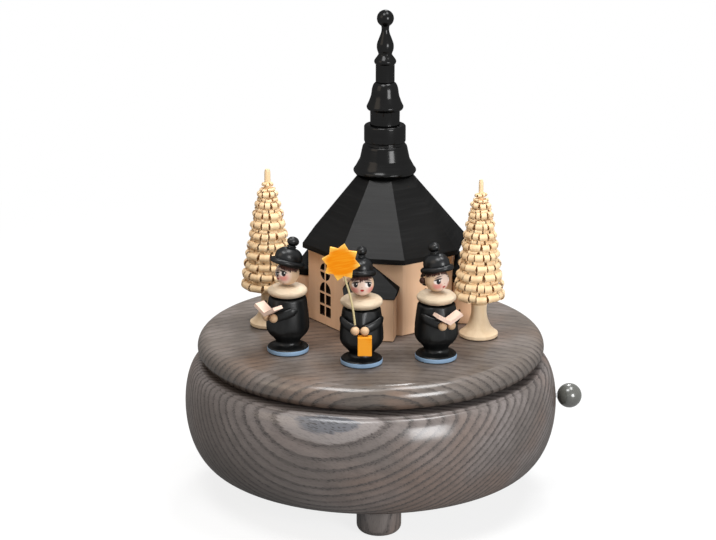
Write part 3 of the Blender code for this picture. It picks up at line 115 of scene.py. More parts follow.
SMALL_BELL_NECK = ((0.0061, 0.0055), (0.00598, 0.0052), (0.00594, 0.0006), (0.006, 0.0), (0, 0))
SPIRE_FOOT = ((0.0, 0.0), (0.0038, 0.0), (0.0038, 0.0068), (0.0039, 0.0071))
SPIRE_CURVE = ((0.0042, 0.0073), (0.0044, 0.0079), (0.00435, 0.0085), (0.00389, 0.0093), (0.00327, 0.0101),
               (0.00276, 0.0109), (0.0028, 0.0114), (0.00292, 0.0118), (0.00322, 0.0126), (0.0034, 0.0138),
               (0.0033, 0.0152), (0.00284, 0.0166), (0.00235, 0.0179), (0.0019, 0.019), (0.00168, 0.0198),
               (0.00154, 0.0206), (0.00153, 0.0214), (0.0016, 0.0221))
FINIAL_RADIUS = 0.0034
FINIAL_SEAT = 0.0224

# Trees
TREE_TIERS = 11
TREE_TRUNK_HEIGHT = 0.0134
TREE_TRUNK_RADIUS = 0.0031
TREE_TRUNK_ROUND = 0.0002
TREE_FOOT_RADIUS = 0.0077
TREE_FOOT_ROUND = 0.0006
TREE_TOP_RADIUS = 0.0024
SHAVING_THICKNESS = 0.00016
SHAVING_RISE_STEPS = 4
SHAVING_ROLL_STEPS = 15

# Figures
STAND_RADIUS = 0.0081
STAND_THICKNESS = 0.0019
STAND_ROUND = 0.0004
COAT_RADIUS = 0.0084
COAT_SHOULDER_RADIUS = 0.0074
COAT_SHOULDER_ROUND = 0.001
COAT_SHOULDER = 0.0012
COAT_HEIGHT = 0.0222
COAT_BELLY = 0.01
COAT_HEM = 0.0064
COLLAR_THICKNESS = 0.004
HEAD_RADIUS = 0.00465
BUN_RADIUS = 0.0013
HAT_STRETCH = 1.3
HAT_SEAT = 0.0026
HAT_BASE = 0.0024
BRIM_RADIUS = 0.0055
BRIM_ROLL = 0.00115
CROWN_HEIGHT = 0.008
BOBBLE_RADIUS = 0.0019
HAND_RADIUS = 0.00168
HAND_HEIGHT = 0.0158
SLEEVE_RADIUS = 0.0013
SLEEVE_TOP = 0.019
SLEEVE_START = radians(66)
SLEEVE_STEPS = 16
SLEEVE_WIDE = 1.35
SLEEVE_THICK = 0.55

# Book, star and lantern
BOOK_SLOPE = radians(32.0)
BOOK_PAGE = 0.0062
BOOK_THICKNESS = 0.0013
BOOK_LENGTH = 0.005
SMALL_ARRIS = 0.00016
POLE_LEAN = radians(12.0)
POLE_RADIUS = 0.0004
POLE_LENGTH = 0.0196
POLE_BOW = 0.0006
POLE_STEPS = 10
STAR_TIPS = 8
STAR_TIP = 0.0072
STAR_NOTCH = 0.0053
STAR_THICKNESS = 0.0016
LANTERN_SIZE = (0.0054, 0.0036, 0.0074)
LANTERN_ROUND = 0.0003

# Stains: dark ring, middle, light and reddish tones
GREY = ((0.08, 0.068, 0.064), (0.15, 0.129, 0.119), (0.208, 0.182, 0.173), (0.188, 0.126, 0.096))
LID_GREY = ((0.07, 0.058, 0.051), (0.132, 0.11, 0.094), (0.178, 0.153, 0.139), (0.19, 0.122, 0.085))
HALO_GREY = (0.245, 0.221, 0.213)
HEART_GREY = (0.128, 0.13, 0.143)
ASH_ROUGHNESS = 0.42
COAT_IOR = 3.0

# Wood and paint of the faces
HEAD_WOOD = ((0.73, 0.52, 0.345), (0.64, 0.43, 0.265))
FACE_WHITE = (0.83, 0.64, 0.56)
FACE_BLUSH = (0.7, 0.17, 0.15)
EYE_WHITE = (0.9, 0.82, 0.78)
EYE_BLACK = (0.006, 0.005, 0.006)
EYE_GLINT = (0.95, 0.95, 0.95)
LIP_RED = (0.42, 0.018, 0.02)
CHIN_RED = (0.62, 0.2, 0.18)
NOSE_RED = (0.5, 0.12, 0.1)
HAIR_DARK = (0.034, 0.013, 0.012)
HAIR_LIGHT = (0.13, 0.062, 0.048)

# Camera
PHOTO_WIDTH = 716
FOCAL_PIXELS = 2091.059
CAMERA_PLACE = (AXIS_X, -0.79983, 0.3298)
CAMERA_PITCH = 0.289939
CAMERA_YAW = -0.006432
CAMERA_ROLL = 0.000646

# Lamps: name, place, aim, size, watts and tint
WHITE = (1.0, 1.0, 1.0)
LAMPS = (
    ("key", (0.49, -0.72, 0.27), (0, 0, 0.08), (0.34, 0.34), 6.4, WHITE),
    ("overhead", (-0.19, -0.3, 0.92), (0, 0, 0.08), (0.38, 0.36), 5.2, WHITE),
    ("overhead_right", (0.27, -0.02, 0.95), (0, 0, 0.08), (0.4, 0.3), 5.0, WHITE),
    ("back", (0.08, 0.66, 0.75), (0, 0, 0.07), (0.22, 0.3), 4.8, WHITE),
    ("fill", (-0.68, -0.39, 0.53), (0, 0, 0.08), (0.5, 0.5), 1.45, (1.0, 0.82, 0.64)),
)
ROOM_LEVEL = 0.08
FLOOR_TONES = ((0.09, 0.09, 0.09), (0.1, 0.1, 0.1))
FLOOR_SEEN = (0.97, 0.97, 0.97)
FLOOR_SIZE = 3.0
FLOOR_Z = -0.0002


def make_camera():
    data = bpy.data.cameras.new("camera")
    data.sensor_fit = "HORIZONTAL"
    data.sensor_width = 36.0
    data.lens = FOCAL_PIXELS * data.sensor_width / PHOTO_WIDTH
    data.clip_start = 0.05
    data.clip_end = 20.0
    forward = Vector((sin(CAMERA_YAW) * cos(CAMERA_PITCH),
                      cos(CAMERA_YAW) * cos(CAMERA_PITCH), -sin(CAMERA_PITCH)))
    level = Vector((cos(CAMERA_YAW), -sin(CAMERA_YAW), 0.0))
    upright = level.cross(forward)
    right = level * cos(CAMERA_ROLL) + upright * sin(CAMERA_ROLL)
    up = upright * cos(CAMERA_ROLL) - level * sin(CAMERA_ROLL)
    camera = bpy.data.objects.new("camera", data)
    turn = Matrix((right, up, -forward)).transposed().to_4x4()
    camera.matrix_world = Matrix.Translation(CAMERA_PLACE) @ turn
    bpy.context.scene.collection.objects.link(camera)
    bpy.context.scene.camera = camera


class Finish:
    """One procedural material, built node by node."""

    def __init__(self, name, roughness=0.5, metallic=0.0, coat=0.0, coat_roughness=0.1, specular=0.25):
        self.mat = bpy.data.materials.new(name)
        self.mat.use_nodes = True
        self.tree = self.mat.node_tree
        self.shader = self.tree.nodes["Principled BSDF"]
        for key, value in (("Roughness", roughness), ("Metallic", metallic), ("Coat Weight", coat),
                           ("Coat Roughness", coat_roughness), ("Coat IOR", COAT_IOR),
                           ("Specular IOR Level", specular)):
            self.put(self.shader.inputs[key], value)
        self.place = self.add("ShaderNodeTexCoord").outputs["Object"]

    def put(self, socket, value):
        if isinstance(value, bpy.types.NodeSocket):
            self.tree.links.new(value, socket)
        elif socket.type == "RGBA" and len(value) == 3:
            socket.default_value = (*value, 1.0)
        else:
            socket.default_value = value

    def add(self, kind, values=None, **settings):
        node = self.tree.nodes.new(kind)
        for key, value in settings.items():
            setattr(node, key, value)
        for key, value in (values or {}).items():
            self.put(node.inputs[key], value)
        return node

    def math(self, operation, a, b=0.0):
        return self.add("ShaderNodeMath", {0: a, 1: b}, operation=operation).outputs[0]

    def plus(self, a, b):
        return self.math("ADD", a, b)

    def minus(self, a, b):
        return self.math("SUBTRACT", a, b)

    def times(self, a, b):
        return self.math("MULTIPLY", a, b)

    def over(self, a, b):
        return self.math("DIVIDE", a, b)

    def centred(self, noise, amount):
        """A noise moved to swing round zero, by the amount from end to end."""
        return self.times(self.minus(noise, 0.5), amount)

    def vector(self, operation, a, b=(0.0, 0.0, 0.0)):
        node = self.add("ShaderNodeVectorMath", {0: a, 1: b}, operation=operation)
        return node.outputs["Value" if operation in ("DOT_PRODUCT", "LENGTH") else "Vector"]

    def noise(self, vector, scale, detail=3.0, roughness=0.5):
        values = {"Vector": vector, "Scale": scale, "Detail": detail, "Roughness": roughness}
        return self.add("ShaderNodeTexNoise", values).outputs["Fac"]

    def range(self, value, low, high, to_low=0.0, to_high=1.0):
        values = {"Value": value, "From Min": low, "From Max": high, "To Min": to_low, "To Max": to_high}
        return self.add("ShaderNodeMapRange", values, interpolation_type="SMOOTHSTEP").outputs["Result"]

    def ramp(self, value, stops):
        node = self.add("ShaderNodeValToRGB", {"Fac": value})
        elements = node.color_ramp.elements
        while len(elements) < len(stops):
            elements.new(0.5)
        for element, (position, level) in zip(elements, stops):
            element.position = position
            element.color = (level, level, level, 1.0)
        return node.outputs["Color"]

    def mix(self, factor, a, b):
        node = self.add("ShaderNodeMix", data_type="RGBA")
        self.put(node.inputs[0], factor)
        self.put(node.inputs[6], a)
        self.put(node.inputs[7], b)
        return node.outputs[2]

    def done(self, color, rough, bump):
        """The material with its colour, a range of roughness, and a bump of height, distance, strength."""
        values = dict(zip(("Height", "Distance", "Strength"), bump))
        self.put(self.shader.inputs["Base Color"], color)
        self.put(self.shader.inputs["Roughness"], self.range(*rough))
        self.put(self.shader.inputs["Normal"], self.add("ShaderNodeBump", values).outputs["Normal"])
        return self.mat

    def along(self, direction, origin=(0.0, 0.0, 0.0)):
        """Position measured in a frame whose first axis is the direction."""
        first = Vector(direction).normalized()
        helper = Vector((0, 0, 1)) if abs(first.z) < 0.9 else Vector((0, 1, 0))
        second = helper.cross(first).normalized()
        third = first.cross(second)
        moved = self.vector("SUBTRACT", self.place, origin)
        return [self.vector("DOT_PRODUCT", moved, tuple(axis)) for axis in (first, second, third)]

    def joined(self, x, y, z):
        return self.add("ShaderNodeCombineXYZ", {0: x, 1: y, 2: z}).outputs[0]

    def grain(self, direction, squeeze, across=1.0):
        """Position squeezed along the fibre, so that a noise of it runs in streaks."""
        x, y, z = self.along(direction)
        return self.joined(self.times(x, squeeze), self.times(y, across), z)


def stained_ash(name, pith, direction, spacing, offset, tones, fibre=None, heart=None, fade=None, coat=0.12,
                warp=0.0005):
    """Grey stained ash: rings at even distances from a pith line, with dark, porous early wood."""
    dark, middle, light, blush = tones
    fin = Finish(name, ASH_ROUGHNESS, coat=coat, coat_roughness=0.2, specular=0.0)
    x, y, z = fin.along(direction, pith)
    slow = fin.joined(fin.times(x, 0.3), y, z)
    drift = fin.centred(fin.noise(slow, 34.0, 2.0), warp * 4.0)
    reach = fin.vector("LENGTH", fin.joined(0.0, y, z))
    if fibre is not None:
        x, y, z = fin.along(fibre)
    grain = fin.joined(fin.times(x, 0.09), y, z)
    fringe = fin.centred(fin.noise(grain, 1500.0, 2.0, 0.6), 0.0008)
    depth = fin.plus(fin.plus(fin.minus(reach, offset), drift), fringe)
    turns = fin.plus(fin.over(depth, spacing), 0.5)
    ring = fin.noise(fin.joined(fin.math("FLOOR", turns), 0.0, 0.0), 7.3, 0.0)
    early = fin.ramp(fin.math("FRACT", turns),
                     [(0.06, 0.0), (0.3, 0.32), (0.46, 0.95), (0.6, 1.0), (0.72, 0.0)])
    broad = fin.noise(grain, 420.0, 3.0, 0.55)
    pores = fin.range(fin.noise(fin.joined(fin.times(x, 0.16), y, z), 2700.0, 1.0), 0.52, 0.64)
    strength = fin.range(ring, 0.36, 0.6, 0.62, 1.0)
    band = fin.times(early, strength)
    if fade is not None:
        level = fin.vector("DOT_PRODUCT", fin.place, (0, 0, 1))
        band = fin.times(band, fin.range(level, fade - 0.0022, fade, 1.0, 0.42))
    base = fin.mix(fin.range(fin.noise(slow, 55.0, 2.0), 0.34, 0.66), middle, light)
    base = fin.mix(fin.range(fin.noise(slow, 26.0, 2.0), 0.46, 0.66, 0.0, 0.7), base, blush)
    base = fin.mix(fin.range(broad, 0.38, 0.72, 0.0, 0.35), base, dark)
    color = fin.mix(fin.times(band, 0.88), base, dark)
    if heart is not None:
        color = fin.mix(fin.range(depth, spacing * 0.12, spacing * 0.32), color, HALO_GREY)
        color = fin.mix(fin.range(depth, spacing * 0.66, spacing * 0.82), color, heart)
    pitted = fin.times(pores, fin.range(band, 0.05, 0.7, 0.24, 1.0))
    color = fin.mix(fin.times(pitted, 0.72), color, tuple(c * 0.34 for c in dark))
    return fin.done(color, (pitted, 0.0, 1.0, ASH_ROUGHNESS, ASH_ROUGHNESS + 0.3),
                    (fin.minus(fin.times(broad, 0.3), pitted), 0.00007, 0.5))


def pale_wood(name, light, dark, direction=(0, 0, 1), rough=0.55, scale=1.0, streak=0.5):
    """Close-grained pale wood with faint streaks along the grain."""
    fin = Finish(name, rough, specular=0.15)
    long = fin.grain(direction, 0.06)
    broad = fin.noise(long, 420.0 * scale, 3.0, 0.55)
    fine = fin.noise(long, 2600.0 * scale, 3.0, 0.6)
    cloud = fin.noise(fin.place, 90.0 * scale, 2.0)
    color = fin.mix(fin.range(broad, 0.35, 0.7, 0.0, streak), light, dark)
    color = fin.mix(fin.range(fine, 0.5, 0.78, 0.0, streak * 0.7), color, dark)
    color = fin.mix(fin.range(cloud, 0.45, 0.75, 0.0, 0.22), color, tuple(c * 0.86 for c in light))
    return fin.done(color, (fine, 0.3, 0.7, rough - 0.07, rough + 0.08), (fine, 0.00004, 0.35))


def painted_wood(name, color, rough, worn, direction=(1, 0, 0), grain=0.5, coat=0.0, coat_rough=0.2,
                 bump=0.00005, specular=0.08, level=False, scale=1.0):
    """Paint or stain over wood: the grain shows through, and arrises are painted lighter, partly as rubbed
    wear and partly as a painted edge highlight.
    """
    fin = Finish(name, rough, coat=coat, coat_roughness=coat_rough, specular=specular)
    long = fin.grain(direction, 0.05, 0.05 if level else 1.0)
    fine = fin.noise(long, 2300.0 * scale, 4.0, 0.65)
    broad = fin.noise(long, 500.0 * scale, 2.0)
    lines = fin.range(fine, 0.46, 0.74, 0.0, grain)
    shade = fin.mix(fin.range(broad, 0.35, 0.7, 0.0, grain * 0.6), color, worn)
    shade = fin.mix(lines, shade, worn)
    # Painted edge highlight, partly rubbed wear too: sharp convex edges are mixed towards the lighter worn
    # colour.
    edge = fin.add("ShaderNodeNewGeometry").outputs["Pointiness"]
    shade = fin.mix(fin.range(edge, 0.54, 0.62, 0.0, 0.6), shade, worn)
    return fin.done(shade, (fine, 0.3, 0.75, rough, rough + 0.16), (fine, bump, 0.5))


def metal(name, tone, tarnish, rough):
    """Brushed metal with a cloudy tarnish."""
    fin = Finish(name, rough, metallic=1.0)
    brushed = fin.noise(fin.grain((1, 0, 0), 0.04), 3800.0, 2.0)
    cloud = fin.noise(fin.place, 240.0, 3.0)
    color = fin.mix(fin.range(cloud, 0.42, 0.7, 0.0, 0.7), tone, tarnish)
    return fin.done(color, (brushed, 0.3, 0.7, rough - 0.08, rough + 0.12), (brushed, 0.00002, 0.4))


def turned(profile, steps):
    """A turned mesh from radius and height pairs, from the top down its outer side."""
    bm = bmesh.new()
    rings = []
    for radius, z in profile:
        if radius < 1e-7:
            rings.append([bm.verts.new((0, 0, z))])
            continue
        rings.append([bm.verts.new((radius * cos(2 * pi * i / steps),
                                    radius * sin(2 * pi * i / steps), z)) for i in range(steps)])
    pairs = list(zip(rings, rings[1:]))
    if len(rings[0]) > 1 and len(rings[-1]) > 1:
        pairs.append((rings[-1], rings[0]))
    for upper, lower in pairs:
        for i in range(steps):
            j = (i + 1) % steps
            corners = [ring[k % len(ring)] for ring, k in ((upper, i), (lower, i), (lower, j), (upper, j))]
            bm.faces.new(list(dict.fromkeys(corners)))
    return bm


def arc(radius_r, radius_z, centre, start, end, steps):
    """Points on an elliptical arc; angles in degrees from the outward direction."""
    points = []
    for i in range(steps + 1):
        angle = radians(start + (end - start) * i / steps)
        points.append((centre[0] + radius_r * cos(angle), centre[1] + radius_z * sin(angle)))
    return points


def smooth(points, per=4):
    """A rounder line through the points."""
    result = []
    last = len(points) - 1
    for i in range(last):
        before, start, end, after = (Vector(points[max(0, min(last, i + k))]) for k in (-1, 0, 1, 2))
        slope = end - before
        bend = 2 * before - 5 * start + 4 * end - after
        rest = 3 * start - before - 3 * end + after
        for step in range(per):
            t = step / per
            place = 0.5 * (2 * start + slope * t + bend * t ** 2 + rest * t ** 3)
            result.append((place.x, place.y))
    result.append(tuple(points[last]))
    return result


def smooth_faces(mesh, sharp):
    mesh.shade_smooth()
    mesh.set_sharp_from_angle(angle=radians(sharp))


def make(name, bm, mats, place=None, sharp=ROUND_SHARP):
    """An object from a mesh built in its own frame; place is its rest matrix."""
    bmesh.ops.recalc_face_normals(bm, faces=bm.faces)
    mesh = bpy.data.meshes.new(name)
    bm.to_mesh(mesh)
    bm.free()
    for mat in mats:
        mesh.materials.append(mat)
    smooth_faces(mesh, sharp)
    obj = bpy.data.objects.new(name, mesh)
    if place is not None:
        obj.matrix_world = place
    bpy.context.scene.collection.objects.link(obj)
    return obj


def dress(obj, body, node):
    """Rides a piece on a body, in place of the node that it stands for."""
    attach(obj, body)
    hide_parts(node)


def piece(name, bm, mats, place, node, body="turntable", sharp=ROUND_SHARP):
    """A piece made from its mesh and put on a body, in place of one node."""
    dress(make(name, bm, mats, place, sharp), body, node)


def carve(obj, cutter, sharp=ROUND_SHARP):
    """Cuts the second mesh out of the first and keeps the result as its mesh."""
    boolean = obj.modifiers.new("carve", "BOOLEAN")
    boolean.operation = "DIFFERENCE"
    boolean.solver = "EXACT"
    boolean.object = cutter
    boolean.material_mode = "TRANSFER"
    bpy.context.view_layer.update()
    depsgraph = bpy.context.evaluated_depsgraph_get()
    mesh = bpy.data.meshes.new_from_object(obj.evaluated_get(depsgraph))
    obj.modifiers.clear()
    obj.data = mesh
    smooth_faces(mesh, sharp)
    bpy.data.objects.remove(cutter)


def outward(angle):
    """Level direction at an angle from the front towards the right."""
    return Vector((sin(angle), -cos(angle), 0.0))


def at(x, y, z, turn=0.0):
    return Matrix.Translation((x, y, z)) @ Matrix.Rotation(turn, 4, "Z")


def box_mesh(size, centre=(0, 0, 0)):
    bm = bmesh.new()
    bmesh.ops.create_cube(bm, size=1.0, matrix=Matrix.Translation(centre) @ Matrix.Diagonal((*size, 1.0)))
    return bm


def round_edges(bm, width, segments=2, least=30.0):
    """Rounds every edge that bends by more than the least angle."""
    edges = [e for e in bm.edges if len(e.link_faces) == 2 and e.calc_face_angle(0) > radians(least)]
    bmesh.ops.bevel(bm, geom=edges, offset=width, offset_type="OFFSET", segments=segments, profile=0.5,
                    affect="EDGES", clamp_overlap=True)


def join_rows(bm, rows):
    """Faces round a row of vertices and the next, for each pair of rows."""
    count = len(rows[0])
    for lower, upper in zip(rows, rows[1:]):
        for i in range(count):
            j = (i + 1) % count
            bm.faces.new((lower[i], lower[j], upper[j], upper[i]))


def skin(bm, rows):
    """A closed skin over rows of vertices."""
    join_rows(bm, rows)
    bm.faces.new(list(reversed(rows[0])))
    bm.faces.new(rows[-1])


def slab(bm, rings):
    """A closed slab between two like outlines."""
    join_rows(bm, rings)
    bm.faces.new(rings[0])
    bm.faces.new(list(reversed(rings[1])))


def prism(outline, low, high):
    """A flat outline in X and Z carried from low to high along Y."""
    bm = bmesh.new()
    slab(bm, [[bm.verts.new((x, y, z)) for x, z in outline] for y in (low, high)])
    return bm


def bar_mesh(points, widths, steps):
    """A bar through the points; widths are the two half axes of its oval section at each."""
    bm = bmesh.new()
    turns = [2 * pi * k / steps for k in range(steps)]
    skin(bm, [[bm.verts.new(point + first * cos(turn) + second * sin(turn)) for turn in turns]
              for point, (first, second) in zip(points, widths)])
    return bm


def heading(points, index):
    """Direction of a line of points at one of them."""
    return (points[min(index + 1, len(points) - 1)] - points[max(index - 1, 0)]).normalized()


def make_bowl():
    ash = stained_ash("stained_ash", (0.00858, 0.03583, -0.03941), (0.908, -0.366, -0.204), spacing=0.0023,
                      offset=0.1316, tones=GREY, heart=HEART_GREY)
    belly = BELLY_HEIGHT
    rim = RIM_ROUND
    profile = arc(rim, rim, (CAVITY_RADIUS + rim, BOWL_HEIGHT - rim), 180, 90, 4)
    upper = arc(BOWL_RADIUS - RIM_RADIUS, BOWL_HEIGHT - rim - belly, (RIM_RADIUS, belly), 90, 0, 28)
    upper[0] = (RIM_RADIUS - rim, BOWL_HEIGHT)
    upper.insert(1, (RIM_RADIUS - rim * 0.45, BOWL_HEIGHT - rim * 0.1))
    upper.insert(2, (RIM_RADIUS + rim * 0.2, BOWL_HEIGHT - rim * 0.5))
    profile += upper
    profile += arc(BOWL_RADIUS - BOWL_BOTTOM_RADIUS, belly, (BOWL_BOTTOM_RADIUS, belly), 0, -90, 34)[1:]
    profile += [(KEY_HOLE_RADIUS + KEY_HOLE_CHAMFER, 0.0), (KEY_HOLE_RADIUS, KEY_HOLE_CHAMFER),
                (KEY_HOLE_RADIUS, BOWL_FLOOR)]
    fillet = CAVITY_FILLET
    profile += arc(fillet, fillet, (CAVITY_RADIUS - fillet, BOWL_FLOOR + fillet), -90, 0, 6)
    place = at(AXIS_X, 0, BOWL_Z)
    bowl = make("bowl", turned(profile, 168), [ash], place)
    bm = bmesh.new()
    hole = Matrix.Translation((BOWL_RADIUS - ROD_HOLE_SET, 0, KNOB_Z - BOWL_Z))
    hole = hole @ Matrix.Rotation(pi / 2, 4, "Y")
    bmesh.ops.create_cone(bm, cap_ends=True, segments=24, radius1=ROD_HOLE_RADIUS, radius2=ROD_HOLE_RADIUS,
                          depth=ROD_HOLE_LENGTH, matrix=hole)
    carve(bowl, make("rod_hole", bm, [ash], place))
    dress(bowl, "base", "base_body")


def make_feet():
    ash = stained_ash("foot_ash", (0.004, 0.024, 0.0), (0.06, 0.1, 1.0), spacing=0.0017, offset=0.0,
                      tones=GREY, warp=0.0008)
    top, sole = FOOT_TOP_ROUND, FOOT_SOLE_ROUND
    foot = [(0, FOOT_HEIGHT)] + arc(top, top, (FOOT_RADIUS - top, FOOT_HEIGHT - top), 90, 0, 2)
    foot += arc(sole, sole, (FOOT_RADIUS - sole, sole), 0, -90, 10) + [(0, 0)]
    for index, name in enumerate(("foot_front", "foot_right", "foot_left")):
        angle = FOOT_TURN + index * 2 * pi / 3
        out = outward(angle) * FOOT_CIRCLE
        place = at(AXIS_X + out.x, out.y, 0, angle)
        piece("turned_" + name, turned(foot, 64), [ash], place, name, "base")


def make_knob():
    paint = painted_wood("knob_stain", (0.07, 0.072, 0.064), 0.3, (0.13, 0.13, 0.115), grain=0.6, coat=0.22)
    socket = ROD_HOLE_RADIUS
    bottom = degrees(asin(-sqrt(1 - (socket / KNOB_RADIUS) ** 2)))
    ball = [(0, KNOB_RADIUS)] + arc(KNOB_RADIUS, KNOB_RADIUS, (0, 0), 90, bottom, 30)[1:]
    ball += [(socket, -KNOB_SOCKET), (0, -KNOB_SOCKET)]
    place = Matrix.Translation((AXIS_X + BOWL_RADIUS + KNOB_GAP + KNOB_RADIUS, 0, KNOB_Z))
    place = place @ Matrix.Rotation(pi / 2, 4, "Y")
    piece("knob", turned(ball, 48), [paint], place, "stop_knob", "stop")


def make_lid():
    ash = stained_ash("lid_ash", (0.01469, -0.06635, -0.11864), (0.12, 0.696, -0.708), spacing=0.003,
                      offset=0.131, tones=LID_GREY, fibre=(1, 0.02, 0), fade=LID_THICKNESS, coat=0.15)
    half = LID_THICKNESS / 2
    flat = LID_RADIUS - LID_NOSE
    profile = [(0, LID_THICKNESS), (flat * 0.5, LID_THICKNESS)]
    profile += arc(LID_NOSE, half, (flat, half), 90, -90, 26)
    profile += [(flat * 0.5, 0), (0, 0)]
    piece("lid_disc", turned(profile, 168), [ash], at(AXIS_X, 0, LID_Z), "lid")


def pane_outlines():
    """Four quarter panes of the rosette and six panes of the arched window."""
    outlines = []
    bar = PANE_BAR / 2
    inner = bar * sqrt(2)
    for quarter in range(4):
        turn = pi / 2 * quarter
        start = asin(bar / ROSETTE_RADIUS)
        points = [(inner * cos(turn + pi / 4), inner * sin(turn + pi / 4))]
        for i in range(PANE_STEPS + 1):
            angle = turn + start + (pi / 2 - 2 * start) * i / PANE_STEPS
            points.append((ROSETTE_RADIUS * cos(angle), ROSETTE_RADIUS * sin(angle)))
        outlines.append([(u, v + ROSETTE_HEIGHT) for u, v in points])
    half = ARCH_WIDTH / 2
    top = ARCH_SILL + ARCH_HEIGHT - half
    row = (ARCH_HEIGHT - 2 * PANE_BAR) / 3
    for level in range(3):
        low = ARCH_SILL + level * (row + PANE_BAR)
        high = low + row
        points = [(bar, low), (half, low), (half, high), (bar, high)]
        if level == 2:
            finish = degrees(acos(bar / half))
            points = [(bar, low), (half, low)] + arc(half, half, (0.0, top), 0, finish, PANE_STEPS)[1:]
        outlines.append(points)
        outlines.append([(-u, v) for u, v in reversed(points)])
    return outlines


def make_church():
    pale = pale_wood("church_maple", (0.77, 0.512, 0.334), (0.65, 0.396, 0.232), rough=0.52, scale=0.6,
                     streak=0.4)
    glass = painted_wood("pane_paint", (0.014, 0.009, 0.007), 0.45, (0.04, 0.026, 0.018), (0, 0, 1),
                         grain=0.4)
    black = painted_wood("roof_stain", (0.0012, 0.0012, 0.0012), 0.5, (0.013, 0.013, 0.013), grain=0.8,
                         coat=0.026, coat_rough=0.29, bump=0.00042, specular=0.0, level=True, scale=0.42)
    church = at(AXIS_X + CHURCH_PLACE[0], CHURCH_PLACE[1], LID_Z + LID_THICKNESS, CHURCH_TURN)
    apothem = WALL_RADIUS * cos(pi / 8)
    make_walls(church, apothem, pale, glass)
    eave_z = SEAT_GAP + WALL_HEIGHT + SEAT_GAP
    for index, name in enumerate(("front", "right", "back", "left")):
        turn = radians(-22.5 + 90 * index)
        make_porch(church @ at(0, 0, SEAT_GAP, turn), name, apothem, eave_z, pale, black)
    bm = bmesh.new()
    levels = ((EAVE_RADIUS, eave_z), (EAVE_RADIUS, eave_z + EAVE_THICKNESS),
              (ROOF_TOP_RADIUS, eave_z + EAVE_THICKNESS + ROOF_HEIGHT))
    skin(bm, [[bm.verts.new((r * sin(pi / 4 * i), -r * cos(pi / 4 * i), z))
               for i in range(8)] for r, z in levels])
    round_edges(bm, ARRIS)
    piece("octagon_roof", bm, [black], church, "church_roof", sharp=FLAT_SHARP)
    make_steeple(church, eave_z + EAVE_THICKNESS + ROOF_HEIGHT + SEAT_GAP)


def make_walls(church, apothem, pale, glass):
    """Eight walls, with panes sunk in the four that have no porch."""
    bm = bmesh.new()
    matrix = Matrix.Translation((0, 0, SEAT_GAP + WALL_HEIGHT / 2))
    bmesh.ops.create_cone(bm, cap_ends=True, segments=8, radius1=WALL_RADIUS, radius2=WALL_RADIUS,
                          depth=WALL_HEIGHT, matrix=matrix)
    round_edges(bm, ARRIS)
    walls = make("octagon_walls", bm, [pale, glass], church, FLAT_SHARP)
    bm = bmesh.new()
    for index in range(4):
        out = outward(radians(22.5 + 90 * index))
        across = Vector((-out.y, out.x, 0))
        for outline in pane_outlines():
            slab(bm, [[bm.verts.new(out * (apothem + reach) + across * u + Vector((0, 0, v)))
                       for u, v in outline] for reach in (0.001, -PANE_DEPTH)])
    carve(walls, make("panes", bm, [glass], church), FLAT_SHARP)
    dress(walls, "turntable", "church_walls")


def make_porch(place, name, apothem, eave_z, pale, black):
    """A porch block, and its roof with a leaning front and two short sides."""
    bm = box_mesh((PORCH_WIDTH, PORCH_REACH, PORCH_HEIGHT),
                  (0, -(apothem + SEAT_GAP + PORCH_REACH / 2), PORCH_HEIGHT / 2))
    round_edges(bm, ARRIS)
    piece("porch_block_" + name, bm, [pale], place, "porch_" + name, sharp=FLAT_SHARP)
    half = PORCH_WIDTH / 2 + GABLE_LIP
    wide = PORCH_WIDTH / 2 + GABLE_OVERHANG
    low = PORCH_HEIGHT + SEAT_GAP
    fascia = low + GABLE_FASCIA
    peak = eave_z - GABLE_DROP
    wall = -(apothem + SEAT_GAP)
    front = wall - PORCH_REACH - SEAT_GAP
    lean = front + (wall - front) * GABLE_FASCIA / (peak - low)
    bm = bmesh.new()
    tip = bm.verts.new((0, wall, peak))
    left, right = [[bm.verts.new((side * x, y, z))
                    for x, y, z in ((half, front, low), (wide, lean, fascia), (wide, wall, fascia),
                                    (half, wall, low))] for side in (-1, 1)]
    for corners in ((left[0], right[0], right[1], tip, left[1]), (right[3], left[3], left[2], tip, right[2]),
                    (left[0], left[3], right[3], right[0]), left, right, (left[1], left[2], tip),
                    (right[1], right[2], tip)):
        bm.faces.new(corners)
    bmesh.ops.recalc_face_normals(bm, faces=bm.faces)
    round_edges(bm, ARRIS)
    piece("gable_roof_" + name, bm, [black], place, "porch_roof_" + name, sharp=FLAT_SHARP)


def make_steeple(church, z):
    """Three turned sections: a bell under a drum, a small bell on its neck, and a spire with a ball."""
    paint = painted_wood("steeple_paint", (0.0012, 0.0012, 0.0012), 0.4, (0.005, 0.005, 0.0052), grain=0.6,
                         coat=0.062, coat_rough=0.18, bump=0.0002, specular=0.0, level=True, scale=0.5)
    bell = [(0, DRUM_TOP)] + arc(0.001, 0.001, (0.0074, DRUM_TOP - 0.001), 90, 0, 8)
    bell += arc(0.0006, 0.0008, (0.0078, BELL_HEIGHT + 0.002), 0, -70, 6) + smooth(BELL_CURVE) + [(0, 0)]
    small = [(0, SMALL_BELL_TOP), (0.0036, SMALL_BELL_TOP)] + smooth(SMALL_BELL_CURVE) + list(SMALL_BELL_NECK)
    centre = FINIAL_SEAT + FINIAL_RADIUS * 0.86
    spire = list(SPIRE_FOOT) + smooth(SPIRE_CURVE)
    spire += arc(FINIAL_RADIUS, FINIAL_RADIUS, (0, centre), -58, 90, 20)[:-1] + [(0, centre + FINIAL_RADIUS)]
    spire.reverse()
    for name, profile, steps, height, node in (
            ("steeple_bell", bell, 80, DRUM_TOP, "steeple_base"),
            ("steeple_small_bell", small, 72, SMALL_BELL_TOP, "steeple_lantern"),
            ("steeple_finial_ball", spire, 56, 0.0, "steeple_finial")):
        piece(name, turned(profile, steps), [paint], church @ at(0, 0, z), node)
        z += height + SEAT_GAP


